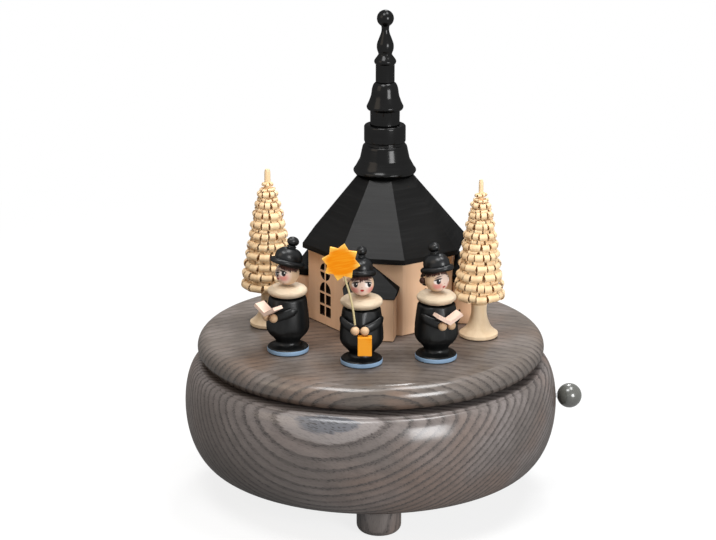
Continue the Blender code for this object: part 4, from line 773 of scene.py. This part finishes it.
def tree_radius(share, low_radius):
    return TREE_TOP_RADIUS + (low_radius - TREE_TOP_RADIUS) * (1 - share) ** 0.67


def shaving(bm, root, reach, roll, width, angle, z, rng):
    """One thin shaving that leaves the trunk, rises outwards and rolls over into a scroll."""
    turns = rng.uniform(1.15, 1.45)
    points = []
    out = reach - roll
    start_z = z + roll * rng.uniform(0.5, 0.8)
    for i in range(SHAVING_RISE_STEPS):
        t = i / SHAVING_RISE_STEPS
        points.append((root + (out - root) * t, start_z + (roll * 0.95 + z - start_z) * t ** 1.6))
    for i in range(SHAVING_ROLL_STEPS + 1):
        turn = pi / 2 - 2 * pi * turns * i / SHAVING_ROLL_STEPS
        radius = roll * (1.0 - 0.3 * i / SHAVING_ROLL_STEPS)
        points.append((out + radius * cos(turn), z + radius * sin(turn)))
    skew = rng.uniform(-0.05, 0.05)
    cup = rng.uniform(0.9, 1.0)
    rows = []
    total = len(points)
    for i, (r, level) in enumerate(points):
        ahead = Vector(points[min(i + 1, total - 1)]) - Vector(points[max(i - 1, 0)])
        normal = Vector((-ahead.y, ahead.x)).normalized() * SHAVING_THICKNESS / 2
        share = min(1.0, i / 5)
        half = width / 2 * (0.55 + 0.45 * share) * (cup if i > total * 0.6 else 1.0)
        row = []
        for side, lift in ((-1, 1), (1, 1), (1, -1), (-1, -1)):
            rr = r + normal.x * lift
            zz = level + normal.y * lift
            offset = side * half + skew * (r - root)
            row.append(bm.verts.new((rr * cos(angle) - offset * sin(angle),
                                     rr * sin(angle) + offset * cos(angle), zz)))
        rows.append(row)
    skin(bm, rows)


def make_tree(name, x, y, height, low_radius, rod, turn, seed, curl_mat, foot_mat):
    """A turned foot, and a core with tiers of shavings that grow smaller towards the top."""
    rng = random.Random(seed)
    place = at(AXIS_X + x, y, LID_Z + LID_THICKNESS + SEAT_GAP, turn)
    trunk = TREE_TRUNK_HEIGHT
    thick = TREE_TRUNK_RADIUS
    flare = TREE_FOOT_RADIUS - thick
    foot = [(0, trunk), (thick - TREE_TRUNK_ROUND, trunk), (thick, trunk - TREE_TRUNK_ROUND)]
    foot += smooth([(thick + flare * share, trunk * level)
                    for share, level in ((0, 0.9), (0, 0.72), (0.16, 0.48), (0.42, 0.29), (0.78, 0.17),
                                         (1.0, 0.11))], 5)
    edge = TREE_FOOT_ROUND
    foot += arc(edge, edge, (TREE_FOOT_RADIUS - edge, edge), 0, -90, 4) + [(0, 0)]
    piece(name + "_turned_foot", turned(foot, 64), [foot_mat], place, name + "_foot")
    bottom = trunk + SEAT_GAP
    first = bottom + 0.0037
    last = height - 0.0062
    pitch = (last - first) / (TREE_TIERS - 1)
    core = [(0, height), (rod * 0.7, height), (rod, height - 0.0012), (rod * 1.05, last),
            (low_radius * 0.32, first + pitch * 6), (low_radius * 0.5, first + pitch * 2),
            (low_radius * 0.6, first), (low_radius * 0.45, bottom + 0.0012), (0.0036, bottom), (0, bottom)]
    bm = turned(core, 28)
    for step in range(TREE_TIERS * 2 - 1):
        share = step / (TREE_TIERS * 2 - 2)
        inner = step % 2
        outer = tree_radius(share, low_radius) * (0.87 if inner else 1.0)
        z = first + pitch * step / 2
        roll = min(pitch * 0.44, outer * 0.34) * (1.0 - 0.15 * share) * (0.62 if inner else 1.0)
        count = max(7, round(2 * pi * (outer - roll * 0.4) / (0.0044 - 0.0018 * share)))
        root = 0.0026 - 0.0016 * share
        angle = rng.uniform(0, 2 * pi)
        spans = [rng.uniform(0.62, 1.35) for _ in range(count)]
        scale = 2 * pi / sum(spans)
        for span in spans:
            middle = angle + span * scale / 2
            width = (outer - roll) * span * scale * rng.uniform(0.9, 1.0)
            shaving(bm, root, outer * rng.uniform(0.93, 1.01), roll * rng.uniform(0.86, 1.06), width, middle,
                    z + pitch * rng.uniform(-0.08, 0.08), rng)
            angle += span * scale
    piece(name + "_curls", bm, [curl_mat], place, name + "_crown", sharp=50.0)


def make_trees():
    curls = pale_wood("shaved_wood", (0.9, 0.68, 0.42), (0.8, 0.52, 0.28), rough=0.52, scale=1.2,
                      streak=0.6)
    feet = pale_wood("tree_foot_wood", (0.74, 0.58, 0.395), (0.62, 0.45, 0.27), rough=0.5)
    make_tree("tree_left", -0.0412, 0.0065, height=0.0647, low_radius=0.0113, rod=0.0012, turn=0.1, seed=4,
              curl_mat=curls, foot_mat=feet)
    make_tree("tree_right", 0.043, -0.0072, height=0.064, low_radius=0.0104, rod=0.0009, turn=0.0, seed=9,
              curl_mat=curls, foot_mat=feet)


def coat_radius(z):
    """Outside of the coat at a height above the lid."""
    share = max(0.0, min(1.0, (z - COAT_BELLY) / (COAT_HEIGHT - COAT_SHOULDER - COAT_BELLY)))
    return COAT_RADIUS + (COAT_SHOULDER_RADIUS - COAT_RADIUS) * share ** 1.9


def body_mesh():
    """A turned coat with a narrow foot on a round stand, and two flat cuts down its front."""
    shoulder = COAT_HEIGHT - COAT_SHOULDER
    hem = STAND_THICKNESS + COAT_HEM
    bend = COAT_SHOULDER_ROUND
    coat = [(0, COAT_HEIGHT), (COAT_SHOULDER_RADIUS * 0.75, COAT_HEIGHT)]
    coat += arc(bend, bend, (COAT_SHOULDER_RADIUS - bend, shoulder + 0.0002), 90, 0, 5)
    coat += [(coat_radius(z), z) for z in (shoulder - k * 0.0014 for k in range(1, 8))]
    waist = [(0.985, 0.001), (0.94, 0.0), (0.84, -0.0012), (0.7, -0.0024), (0.6, -0.0034), (0.57, -0.0042)]
    flare = [(0.61, 0.0013), (0.74, 0.0007), (0.9, 0.0003)]
    coat += smooth([(COAT_RADIUS, COAT_BELLY)] + [(COAT_RADIUS * share, hem + rise) for share, rise in waist]
                   + [(COAT_RADIUS * share, STAND_THICKNESS + rise) for share, rise in flare])
    disc_top = len(coat)
    edge = STAND_ROUND
    coat += arc(edge, edge, (STAND_RADIUS - edge, STAND_THICKNESS - 0.0005), 70, 0, 3)
    coat += arc(edge, edge, (STAND_RADIUS - edge, edge), 0, -90, 4) + [(0, 0)]
    bm = turned(coat, 72)
    rim = coat[disc_top][1] - 0.00005
    for face in bm.faces:
        if face.calc_center_median().z < rim:
            face.material_index = 1
    for centre in (-21, 23):
        facet(bm, centre, COAT_RADIUS * 0.965, COAT_HEIGHT * 0.44, 0.1)
    return bm


def facet(bm, azimuth, reach, level, fall):
    """Cuts a flat face at an azimuth; the plane's outward normal rises by fall."""
    angle = radians(azimuth)
    normal = (outward(angle) + Vector((0, 0, fall))).normalized()
    point = outward(angle) * reach + Vector((0, 0, level))
    geom = bm.verts[:] + bm.edges[:] + bm.faces[:]
    cut = bmesh.ops.bisect_plane(bm, geom=geom, plane_co=point, plane_no=normal, clear_outer=True)
    edges = [e for e in cut["geom_cut"] if isinstance(e, bmesh.types.BMEdge)]
    bmesh.ops.contextual_create(bm, geom=edges)


def collar_mesh(radius, seed):
    """A thick turned ring with flat knife cuts along its lower edge and a few on its shoulder."""
    rng = random.Random(seed)
    top = COLLAR_THICKNESS
    half = top * 0.5
    profile = [(0, top), (radius * 0.54, top)]
    profile += arc(radius * 0.4, half, (radius * 0.6, half), 80, -78, 24)
    profile += [(radius * 0.64, 0), (0, 0)]
    bm = turned(profile, 84)
    for centre in (-150, -108, -62, -24, 10, 44, 84, 132):
        facet(bm, centre + rng.uniform(-7, 7), radius * rng.uniform(0.92, 0.955), top * 0.28, -1.15)
    for centre in (-80, -34, 22, 70):
        facet(bm, centre + rng.uniform(-9, 9), radius * rng.uniform(0.955, 0.975), top * 0.66, 1.5)
    return bm


def hat_mesh():
    """Round hat with a thick rolled brim, a small ring under the bobble and the bobble itself."""
    seat = HAT_SEAT + SEAT_GAP
    peak = HAT_BASE + SEAT_GAP + CROWN_HEIGHT
    bobble = peak + BOBBLE_RADIUS * 0.9
    hat = [(0, bobble + BOBBLE_RADIUS)] + arc(BOBBLE_RADIUS, BOBBLE_RADIUS, (0, bobble), 90, -56, 18)[1:]
    hat += arc(0.00035, 0.00035, (BOBBLE_RADIUS * 0.6, peak - 0.0003), 70, -60, 6)
    crown = [(BOBBLE_RADIUS * 0.74, peak - 0.0008)]
    crown += [(HEAD_RADIUS * share, peak - CROWN_HEIGHT * fall)
              for share, fall in ((0.52, 0.14), (0.72, 0.24), (0.87, 0.38), (0.93, 0.54))]
    hat += smooth(crown + [(HEAD_RADIUS * 0.92, seat + BRIM_ROLL * 2.0)], 5)
    hat += arc(BRIM_ROLL, BRIM_ROLL, (BRIM_RADIUS - BRIM_ROLL, seat + BRIM_ROLL), 95, -90, 16)
    hat += [(0, seat)]
    return turned(hat, 64)


def arm_mesh(side, hand):
    """A flattened black sleeve round the coat that ends in a plain wooden ball, of material 1."""
    points = []
    radii = []
    outs = []
    start = SLEEVE_START * side
    end = atan2(hand.x, -hand.y)
    gap = SLEEVE_RADIUS * SLEEVE_THICK + 0.0002
    for i in range(SLEEVE_STEPS):
        share = i / SLEEVE_STEPS
        angle = start + (end - start) * share
        z = SLEEVE_TOP + (hand.z - SLEEVE_TOP) * share ** 0.85
        level = max(hand.z - HAND_RADIUS, z - SLEEVE_RADIUS)
        out = outward(angle)
        points.append(out * (coat_radius(level) + gap) + Vector((0, 0, z)))
        radii.append(SLEEVE_RADIUS * min(1.0, 0.5 + share * 2.6))
        outs.append(out)
    direction = (hand - points[-1]).normalized()
    points.append(hand - direction * HAND_RADIUS * 0.84)
    radii.append(SLEEVE_RADIUS * 0.88)
    outs.append(outs[-1])
    widths = []
    for i, (radius, out) in enumerate(zip(radii, outs)):
        ahead = heading(points, i)
        across = ahead.cross(out).normalized() * radius * SLEEVE_WIDE
        widths.append((across, across.cross(ahead).normalized() * radius * SLEEVE_THICK))
    bm = bar_mesh(points, widths, 18)
    count = len(bm.faces)
    turn = Vector((0, 0, 1)).rotation_difference(direction).to_matrix().to_4x4()
    bmesh.ops.create_uvsphere(bm, u_segments=28, v_segments=16, radius=HAND_RADIUS,
                              matrix=Matrix.Translation(hand) @ turn)
    paint_rest(bm, count)
    return bm


def paint_rest(bm, count):
    """Gives material 1 to the faces after the first count."""
    bm.faces.ensure_lookup_table()
    for face in bm.faces[count:]:
        face.material_index = 1


def face_paint(name, middle, eyes, mouth, cheeks, fringe):
    """Painted doll face: rosy cheeks, dark eyes with brows, small mouth and brushed fringe strokes.
    Places are azimuth and elevation in degrees; the fringe is its lower edge round the head."""
    fin = Finish(name, 0.42, coat=0.04, coat_roughness=0.3, specular=0.1)
    scaled = fin.vector("DIVIDE", fin.place, (HEAD_RADIUS, HEAD_RADIUS, HEAD_RADIUS))
    fine = fin.noise(fin.place, 1500.0, 3.0)
    long = fin.noise(fin.vector("MULTIPLY", fin.place, (1.0, 1.0, 0.12)), 1300.0, 2.0)
    state = {"color": fin.mix(fin.range(long, 0.35, 0.7, 0.0, 0.6), *HEAD_WOOD)}

    def spot(azimuth, elevation, wide, tall, color, amount=1.0, edge=0.35, tilt=0.0):
        a = radians(azimuth)
        e = radians(elevation)
        centre = Vector((sin(a) * cos(e), -cos(a) * cos(e), sin(e)))
        across = Vector((cos(a), sin(a), 0.0))
        upward = Vector((-sin(a) * sin(e), cos(a) * sin(e), cos(e)))
        turn = radians(tilt)
        u = across * cos(turn) + upward * sin(turn)
        v = upward * cos(turn) - across * sin(turn)
        moved = fin.vector("SUBTRACT", scaled, tuple(centre))
        sides = [fin.over(fin.vector("DOT_PRODUCT", moved, tuple(axis)), size)
                 for axis, size in ((u, wide), (v, tall), (centre, 0.9))]
        mask = fin.range(fin.vector("LENGTH", fin.joined(*sides)), 1.0 - edge, 1.0 + edge, amount, 0.0)
        state["color"] = fin.mix(mask, state["color"], color)

    spot(middle, -2, 1.02, 0.94, FACE_WHITE, 0.8, 0.2)
    for azimuth, elevation in cheeks:
        spot(azimuth, elevation, 0.38, 0.28, FACE_BLUSH, 0.7, 0.65)
    for side, (azimuth, elevation) in zip((-1, 1), eyes):
        spot(azimuth - 5, elevation - 3, 0.27, 0.2, EYE_WHITE, 0.95, 0.22)
        spot(azimuth + 3, elevation - 1, 0.185, 0.23, EYE_BLACK, 1.0, 0.14, side * 16)
        spot(azimuth, elevation + 9, 0.35, 0.085, EYE_BLACK, 0.95, 0.28, side * -16)
        spot(azimuth + 2, elevation + 20, 0.34, 0.05, HAIR_DARK, 0.85, 0.35, side * -20)
        spot(azimuth + 8, elevation + 3, 0.045, 0.05, EYE_GLINT, 1.0, 0.3)
    spot(mouth[0] - 1, (mouth[1] + eyes[0][1]) * 0.35, 0.04, 0.034, NOSE_RED, 0.85, 0.4)
    spot(mouth[0], mouth[1], 0.155, 0.105, LIP_RED, 1.0, 0.22)
    spot(mouth[0], mouth[1] - 8, 0.16, 0.03, CHIN_RED, 0.5, 0.5)
    parts = fin.add("ShaderNodeSeparateXYZ", {0: scaled})
    forward = fin.times(parts.outputs[1], -1.0)
    azimuth = fin.over(fin.math("ARCTAN2", parts.outputs[0], forward), 2 * pi)
    stops = [(0.5 + place / 360.0, sin(radians(level))) for place, level in fringe]
    low = fin.ramp(fin.plus(azimuth, 0.5), stops)
    brushed = fin.joined(fin.times(azimuth, 60.0), fin.times(parts.outputs[2], 1.5), 0.0)
    strokes = fin.noise(brushed, 1.0, 2.0, 0.6)
    edge = fin.plus(parts.outputs[2], fin.centred(strokes, 0.62))
    hair = fin.range(fin.minus(edge, low), -0.03, 0.03)
    tone = fin.mix(fin.range(strokes, 0.4, 0.6), HAIR_LIGHT, HAIR_DARK)
    return fin.done(fin.mix(hair, state["color"], tone), (fine, 0.3, 0.7, 0.36, 0.5), (fine, 0.00002, 0.3))


def make_figure(name, x, y, turn, head_turn, tilt, collar, cap, mats, face, seed, shift=0.0, bun=False):
    """A figure at a place on the lid; cap holds how far forward the hat sits, and its two stretches."""
    coat, rim_blue, cream, skin_wood, hat_paint, brown = mats
    figure = at(AXIS_X + x, y, LID_Z + LID_THICKNESS + SEAT_GAP, turn)
    piece(name + "_coat", body_mesh(), [coat, rim_blue], figure, name + "_body")
    collar_z = COAT_HEIGHT + SEAT_GAP
    piece(name + "_ruff", collar_mesh(collar, seed), [cream], figure @ at(0, 0, collar_z),
          name + "_collar", sharp=16.0)
    upright = figure @ at(0, 0, collar_z + COLLAR_THICKNESS + SEAT_GAP + HEAD_RADIUS, head_turn - turn)
    back = Matrix.Rotation(-tilt, 4, "X")
    cut = degrees(asin(HAT_SEAT / HEAD_RADIUS))
    ball = [(0, HAT_SEAT)] + arc(HEAD_RADIUS, HEAD_RADIUS, (0, 0), cut, -90, 34)[:-1] + [(0, -HEAD_RADIUS)]
    bm = turned(ball, 72)
    bm.transform(back)
    if bun:
        count = len(bm.faces)
        out = outward(radians(-125)) * (HEAD_RADIUS + BUN_RADIUS * 0.55)
        place = Matrix.Translation(out - Vector((0, 0, 0.0004)))
        bmesh.ops.create_uvsphere(bm, u_segments=20, v_segments=12, radius=BUN_RADIUS, matrix=place)
        paint_rest(bm, count)
    piece(name + "_face", bm, [face, brown], upright, name + "_head")
    bm = hat_mesh()
    forward, wide, long = cap
    bm.transform(Matrix.Diagonal((wide, long, 1.0, 1.0)))
    piece(name + "_cap", bm, [hat_paint], upright @ back @ at(0, -forward, 0), name + "_hat")
    reach = coat_radius(HAND_HEIGHT) + HAND_RADIUS + SEAT_GAP + 0.0002
    hands = []
    for side, part in ((-1, "_arm_right"), (1, "_arm_left")):
        hand_x = side * (HAND_RADIUS + SEAT_GAP / 2) + shift
        hand = Vector((hand_x, -sqrt(reach ** 2 - hand_x ** 2), HAND_HEIGHT))
        piece(name + part.replace("arm", "sleeve"), arm_mesh(side, hand), [coat, skin_wood], figure,
              name + part)
        hands.append(hand)
    return figure, hands


def make_book(name, figure, hands, paper):
    """An open book whose two halves slope up from a fold that rests on both hands."""
    middle = (hands[0] + hands[1]) / 2
    half = (hands[1] - hands[0]).length / 2
    rise = (HAND_RADIUS + SEAT_GAP - half * sin(BOOK_SLOPE)) / cos(BOOK_SLOPE)
    page_x = BOOK_PAGE * cos(BOOK_SLOPE)
    page_z = BOOK_PAGE * sin(BOOK_SLOPE)
    thick = BOOK_THICKNESS / cos(BOOK_SLOPE)
    lip_x = BOOK_THICKNESS * sin(BOOK_SLOPE)
    lip_z = BOOK_THICKNESS * cos(BOOK_SLOPE)
    outline = [(0, 0), (page_x, page_z), (page_x - lip_x, page_z + lip_z), (0, thick),
               (lip_x - page_x, page_z + lip_z), (-page_x, page_z)]
    turn = atan2(middle.x, -middle.y)
    place = middle + outward(turn) * 0.0008 + Vector((0, 0, rise))
    bm = prism(outline, -BOOK_LENGTH / 2, BOOK_LENGTH / 2)
    round_edges(bm, SMALL_ARRIS, least=15.0)
    piece(name + "_open", bm, [paper], figure @ at(*place, turn), name, sharp=12.0)


def star_face():
    """Orange paint that thins to yellow towards the tips."""
    fin = Finish("star_face", 0.45, specular=0.1)
    brushed = fin.noise(fin.grain((1, 0, 0.2), 0.08), 1800.0, 3.0)
    reach = fin.over(fin.vector("LENGTH", fin.place), STAR_TIP)
    worn = fin.plus(reach, fin.centred(brushed, 0.35))
    color = fin.mix(fin.range(brushed, 0.4, 0.62), (0.83, 0.24, 0.003), (0.85, 0.31, 0.01))
    color = fin.mix(fin.range(worn, 0.62, 0.98, 0.0, 0.85), color, (0.9, 0.56, 0.11))
    return fin.done(color, (brushed, 0.3, 0.7, 0.4, 0.54), (brushed, 0.00004, 0.5))


def make_star(figure, hands, pole_mat):
    """A slightly bowed pole on the right hand, and a flat star on its tip."""
    foot = hands[0] + Vector((0, 0, HAND_RADIUS + SEAT_GAP + POLE_RADIUS))
    lean = Vector((-sin(POLE_LEAN), 0, cos(POLE_LEAN)))
    aside = Vector((cos(POLE_LEAN), 0, sin(POLE_LEAN))) * POLE_BOW
    points = [foot + lean * POLE_LENGTH * k / POLE_STEPS + aside * sin(pi * k / POLE_STEPS)
              for k in range(POLE_STEPS + 1)]
    widths = []
    for i in range(len(points)):
        ahead = heading(points, i)
        first = Vector((0, 0, 1)).cross(ahead).normalized()
        widths.append((first * POLE_RADIUS, ahead.cross(first) * POLE_RADIUS))
    piece("star_stick", bar_mesh(points, widths, 14), [pole_mat], figure, "star_pole")
    start = atan2(-lean.z, -lean.x)
    outline = []
    for i in range(STAR_TIPS * 2):
        reach = STAR_NOTCH if i % 2 == 0 else STAR_TIP
        angle = start + i * pi / STAR_TIPS
        outline.append((reach * cos(angle), reach * sin(angle)))
    bm = prism(outline, -STAR_THICKNESS / 2, STAR_THICKNESS / 2)
    round_edges(bm, SMALL_ARRIS)
    centre = foot + lean * (POLE_LENGTH + STAR_NOTCH + SEAT_GAP)
    piece("star_cut", bm, [star_face()], figure @ Matrix.Translation(centre), "star",
          sharp=20.0)


def make_lantern(figure, hands, orange):
    """A block that hangs under the left hand, clear of the coat."""
    wide, deep, tall = LANTERN_SIZE
    hand = hands[1]
    top = hand.z - HAND_RADIUS - SEAT_GAP
    clear = coat_radius(top - tall) + SEAT_GAP
    bm = box_mesh((wide, deep, tall))
    round_edges(bm, LANTERN_ROUND, 3)
    place = figure @ at(hand.x, -(clear + deep / 2), top - tall / 2)
    piece("lantern_block", bm, [orange], place, "lantern", sharp=12.0)


def make_figures():
    coat = painted_wood("coat_paint", (0.0042, 0.0045, 0.0048), 0.4, (0.014, 0.015, 0.0145), (0, 0, 1),
                        grain=0.45, coat=0.075, coat_rough=0.34, specular=0.0)
    hat_paint = painted_wood("hat_paint", (0.0036, 0.004, 0.0046), 0.4, (0.011, 0.0115, 0.012), (0, 0, 1),
                             grain=0.3, coat=0.1, coat_rough=0.3, specular=0.0)
    rim_blue = painted_wood("stand_blue", (0.2, 0.31, 0.45), 0.4, (0.29, 0.395, 0.51), grain=0.4)
    cream = pale_wood("collar_wood", (0.61, 0.5, 0.365), (0.51, 0.39, 0.265), (1, 0.2, 0), 0.5)
    hand_wood = pale_wood("hand_wood", (0.62, 0.42, 0.26), (0.49, 0.3, 0.16), (1, 0, 0.2), 0.42,
                          streak=0.6)
    paper = pale_wood("book_wood", (0.78, 0.58, 0.48), (0.68, 0.47, 0.36), (1, 0, 0), 0.5, streak=0.4)
    brown = painted_wood("hair_paint", (0.03, 0.014, 0.01), 0.28, (0.06, 0.028, 0.02), (0, 0, 1),
                         grain=0.4)
    orange = painted_wood("star_paint", (0.78, 0.25, 0.003), 0.45, (0.81, 0.36, 0.04), grain=0.35)
    pole = pale_wood("pole_wood", (0.62, 0.53, 0.3), (0.48, 0.39, 0.19), rough=0.5)
    mats = (coat, rim_blue, cream, hand_wood, hat_paint, brown)
    left = face_paint("left_face_paint", 14, ((-2, 3), (36, 13)), (2, -18), ((-34, -20), (38, -8)),
                      ((-180, 8), (-46, 32), (-10, 38), (30, 34), (70, 20), (180, 8)))
    right = face_paint("right_face_paint", 10, ((-32, 7), (53, 7)), (3, -25), ((-35, -19), (52, -19)),
                       ((-180, 6), (-74, 26), (-16, 41), (20, 36), (59, 20), (110, 10), (180, 6)))
    bearer = face_paint("bearer_face_paint", 3, ((-32, 10), (37, 10)), (3, -18), ((-38, -20), (55, -20)),
                        ((-180, 6), (-68, 16), (-23, 34), (-5, 24), (25, 31), (77, 32), (180, 6)))
    figure, hands = make_figure("left_singer", -0.0323, -0.0262, turn=radians(-40),
                                head_turn=radians(-55), tilt=radians(19), collar=0.0077,
                                cap=(0.0013, 1.04, 1.34), mats=mats, face=left, seed=3)
    make_book("left_singer_book", figure, hands, paper)
    figure, hands = make_figure("right_singer", 0.0252, -0.0344, turn=radians(22),
                                head_turn=radians(37), tilt=radians(15), collar=0.0076,
                                cap=(0.0013, 1.06, 1.36), mats=mats, face=right, seed=5, bun=True)
    make_book("right_singer_book", figure, hands, paper)
    figure, hands = make_figure("star_bearer", -0.0035, -0.0401, turn=0.0, head_turn=0.0,
                                tilt=radians(14), collar=0.0081, cap=(0.0002, 1.0, HAT_STRETCH),
                                mats=mats, face=bearer, seed=8, shift=-0.0006)
    make_star(figure, hands, pole)
    make_lantern(figure, hands, orange)


def finish_works():
    """Materials of the carried-over pieces: brass and steel works, and the wooden hub."""
    brass = metal("brass", (0.74, 0.56, 0.27), (0.52, 0.36, 0.16), 0.28)
    steel = metal("steel", (0.56, 0.565, 0.575), (0.4, 0.4, 0.405), 0.26)
    hub_wood = pale_wood("hub_wood", (0.72, 0.54, 0.38), (0.6, 0.42, 0.28), (1, 0, 0))
    brass_nodes = ("bedplate", "barrel_bridge", "governor_frame", "spring_barrel", "great_wheel",
                   "pin_cylinder", "governor_wheel")
    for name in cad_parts:
        mat = brass if name in brass_nodes else steel
        if name == "lid_hub":
            mat = hub_wood
        obj = bpy.data.objects.get(name)
        if obj is not None and not obj.hide_render:
            obj.data.materials.clear()
            obj.data.materials.append(mat)


def area(name, place, aim, size, power, tint):
    data = bpy.data.lights.new(name, "AREA")
    data.shape = "RECTANGLE"
    data.size, data.size_y = size
    data.energy = power
    data.color = tint
    lamp = bpy.data.objects.new(name, data)
    lamp.location = place
    lamp.rotation_euler = (Vector(aim) - Vector(place)).to_track_quat("-Z", "Y").to_euler()
    bpy.context.scene.collection.objects.link(lamp)


def direct_rays(tree):
    """1 for camera, glossy and transmission rays."""
    path = tree.nodes.new("ShaderNodeLightPath")
    value = path.outputs["Is Camera Ray"]
    for name in ("Is Glossy Ray", "Is Transmission Ray"):
        node = tree.nodes.new("ShaderNodeMath")
        node.operation = "MAXIMUM"
        tree.links.new(value, node.inputs[0])
        tree.links.new(path.outputs[name], node.inputs[1])
        value = node.outputs[0]
    return value


def make_room():
    """Soft lamps, and white for the rays that see the background itself."""
    world = bpy.data.worlds.new("room")
    world.use_nodes = True
    tree = world.node_tree
    back = tree.nodes["Background"]
    level = tree.nodes.new("ShaderNodeMapRange")
    level.inputs["To Min"].default_value = ROOM_LEVEL
    level.inputs["To Max"].default_value = 1.0
    tree.links.new(direct_rays(tree), level.inputs["Value"])
    tree.links.new(level.outputs["Result"], back.inputs["Strength"])
    back.inputs["Color"].default_value = (*WHITE, 1.0)
    bpy.context.scene.world = world
    bm = bmesh.new()
    bmesh.ops.create_grid(bm, x_segments=2, y_segments=2, size=FLOOR_SIZE)
    fin = Finish("floor_white", 0.9, specular=0.0)
    seen = direct_rays(fin.tree)
    tone = fin.mix(fin.noise(fin.place, 3.0, 2.0), *FLOOR_TONES)
    fin.put(fin.shader.inputs["Base Color"], fin.mix(seen, tone, FLOOR_SEEN))
    glow = fin.add("ShaderNodeEmission", {"Color": WHITE, "Strength": 1.0}).outputs[0]
    reach = fin.range(fin.vector("LENGTH", fin.place), 0.14, 0.5, 0.82, 1.0)
    share = fin.times(seen, reach)
    mixed = fin.add("ShaderNodeMixShader", {0: share, 1: fin.shader.outputs[0], 2: glow}).outputs[0]
    fin.put(fin.tree.nodes["Material Output"].inputs["Surface"], mixed)
    floor = make("floor", bm, [fin.mat])
    floor.location = (0, 0, FLOOR_Z)
    for lamp in LAMPS:
        area(*lamp)


def main():
    bpy.context.scene.view_settings.view_transform = "Standard"
    make_camera()
    make_room()
    make_bowl()
    make_feet()
    make_knob()
    make_lid()
    make_church()
    make_trees()
    make_figures()
    finish_works()


main()
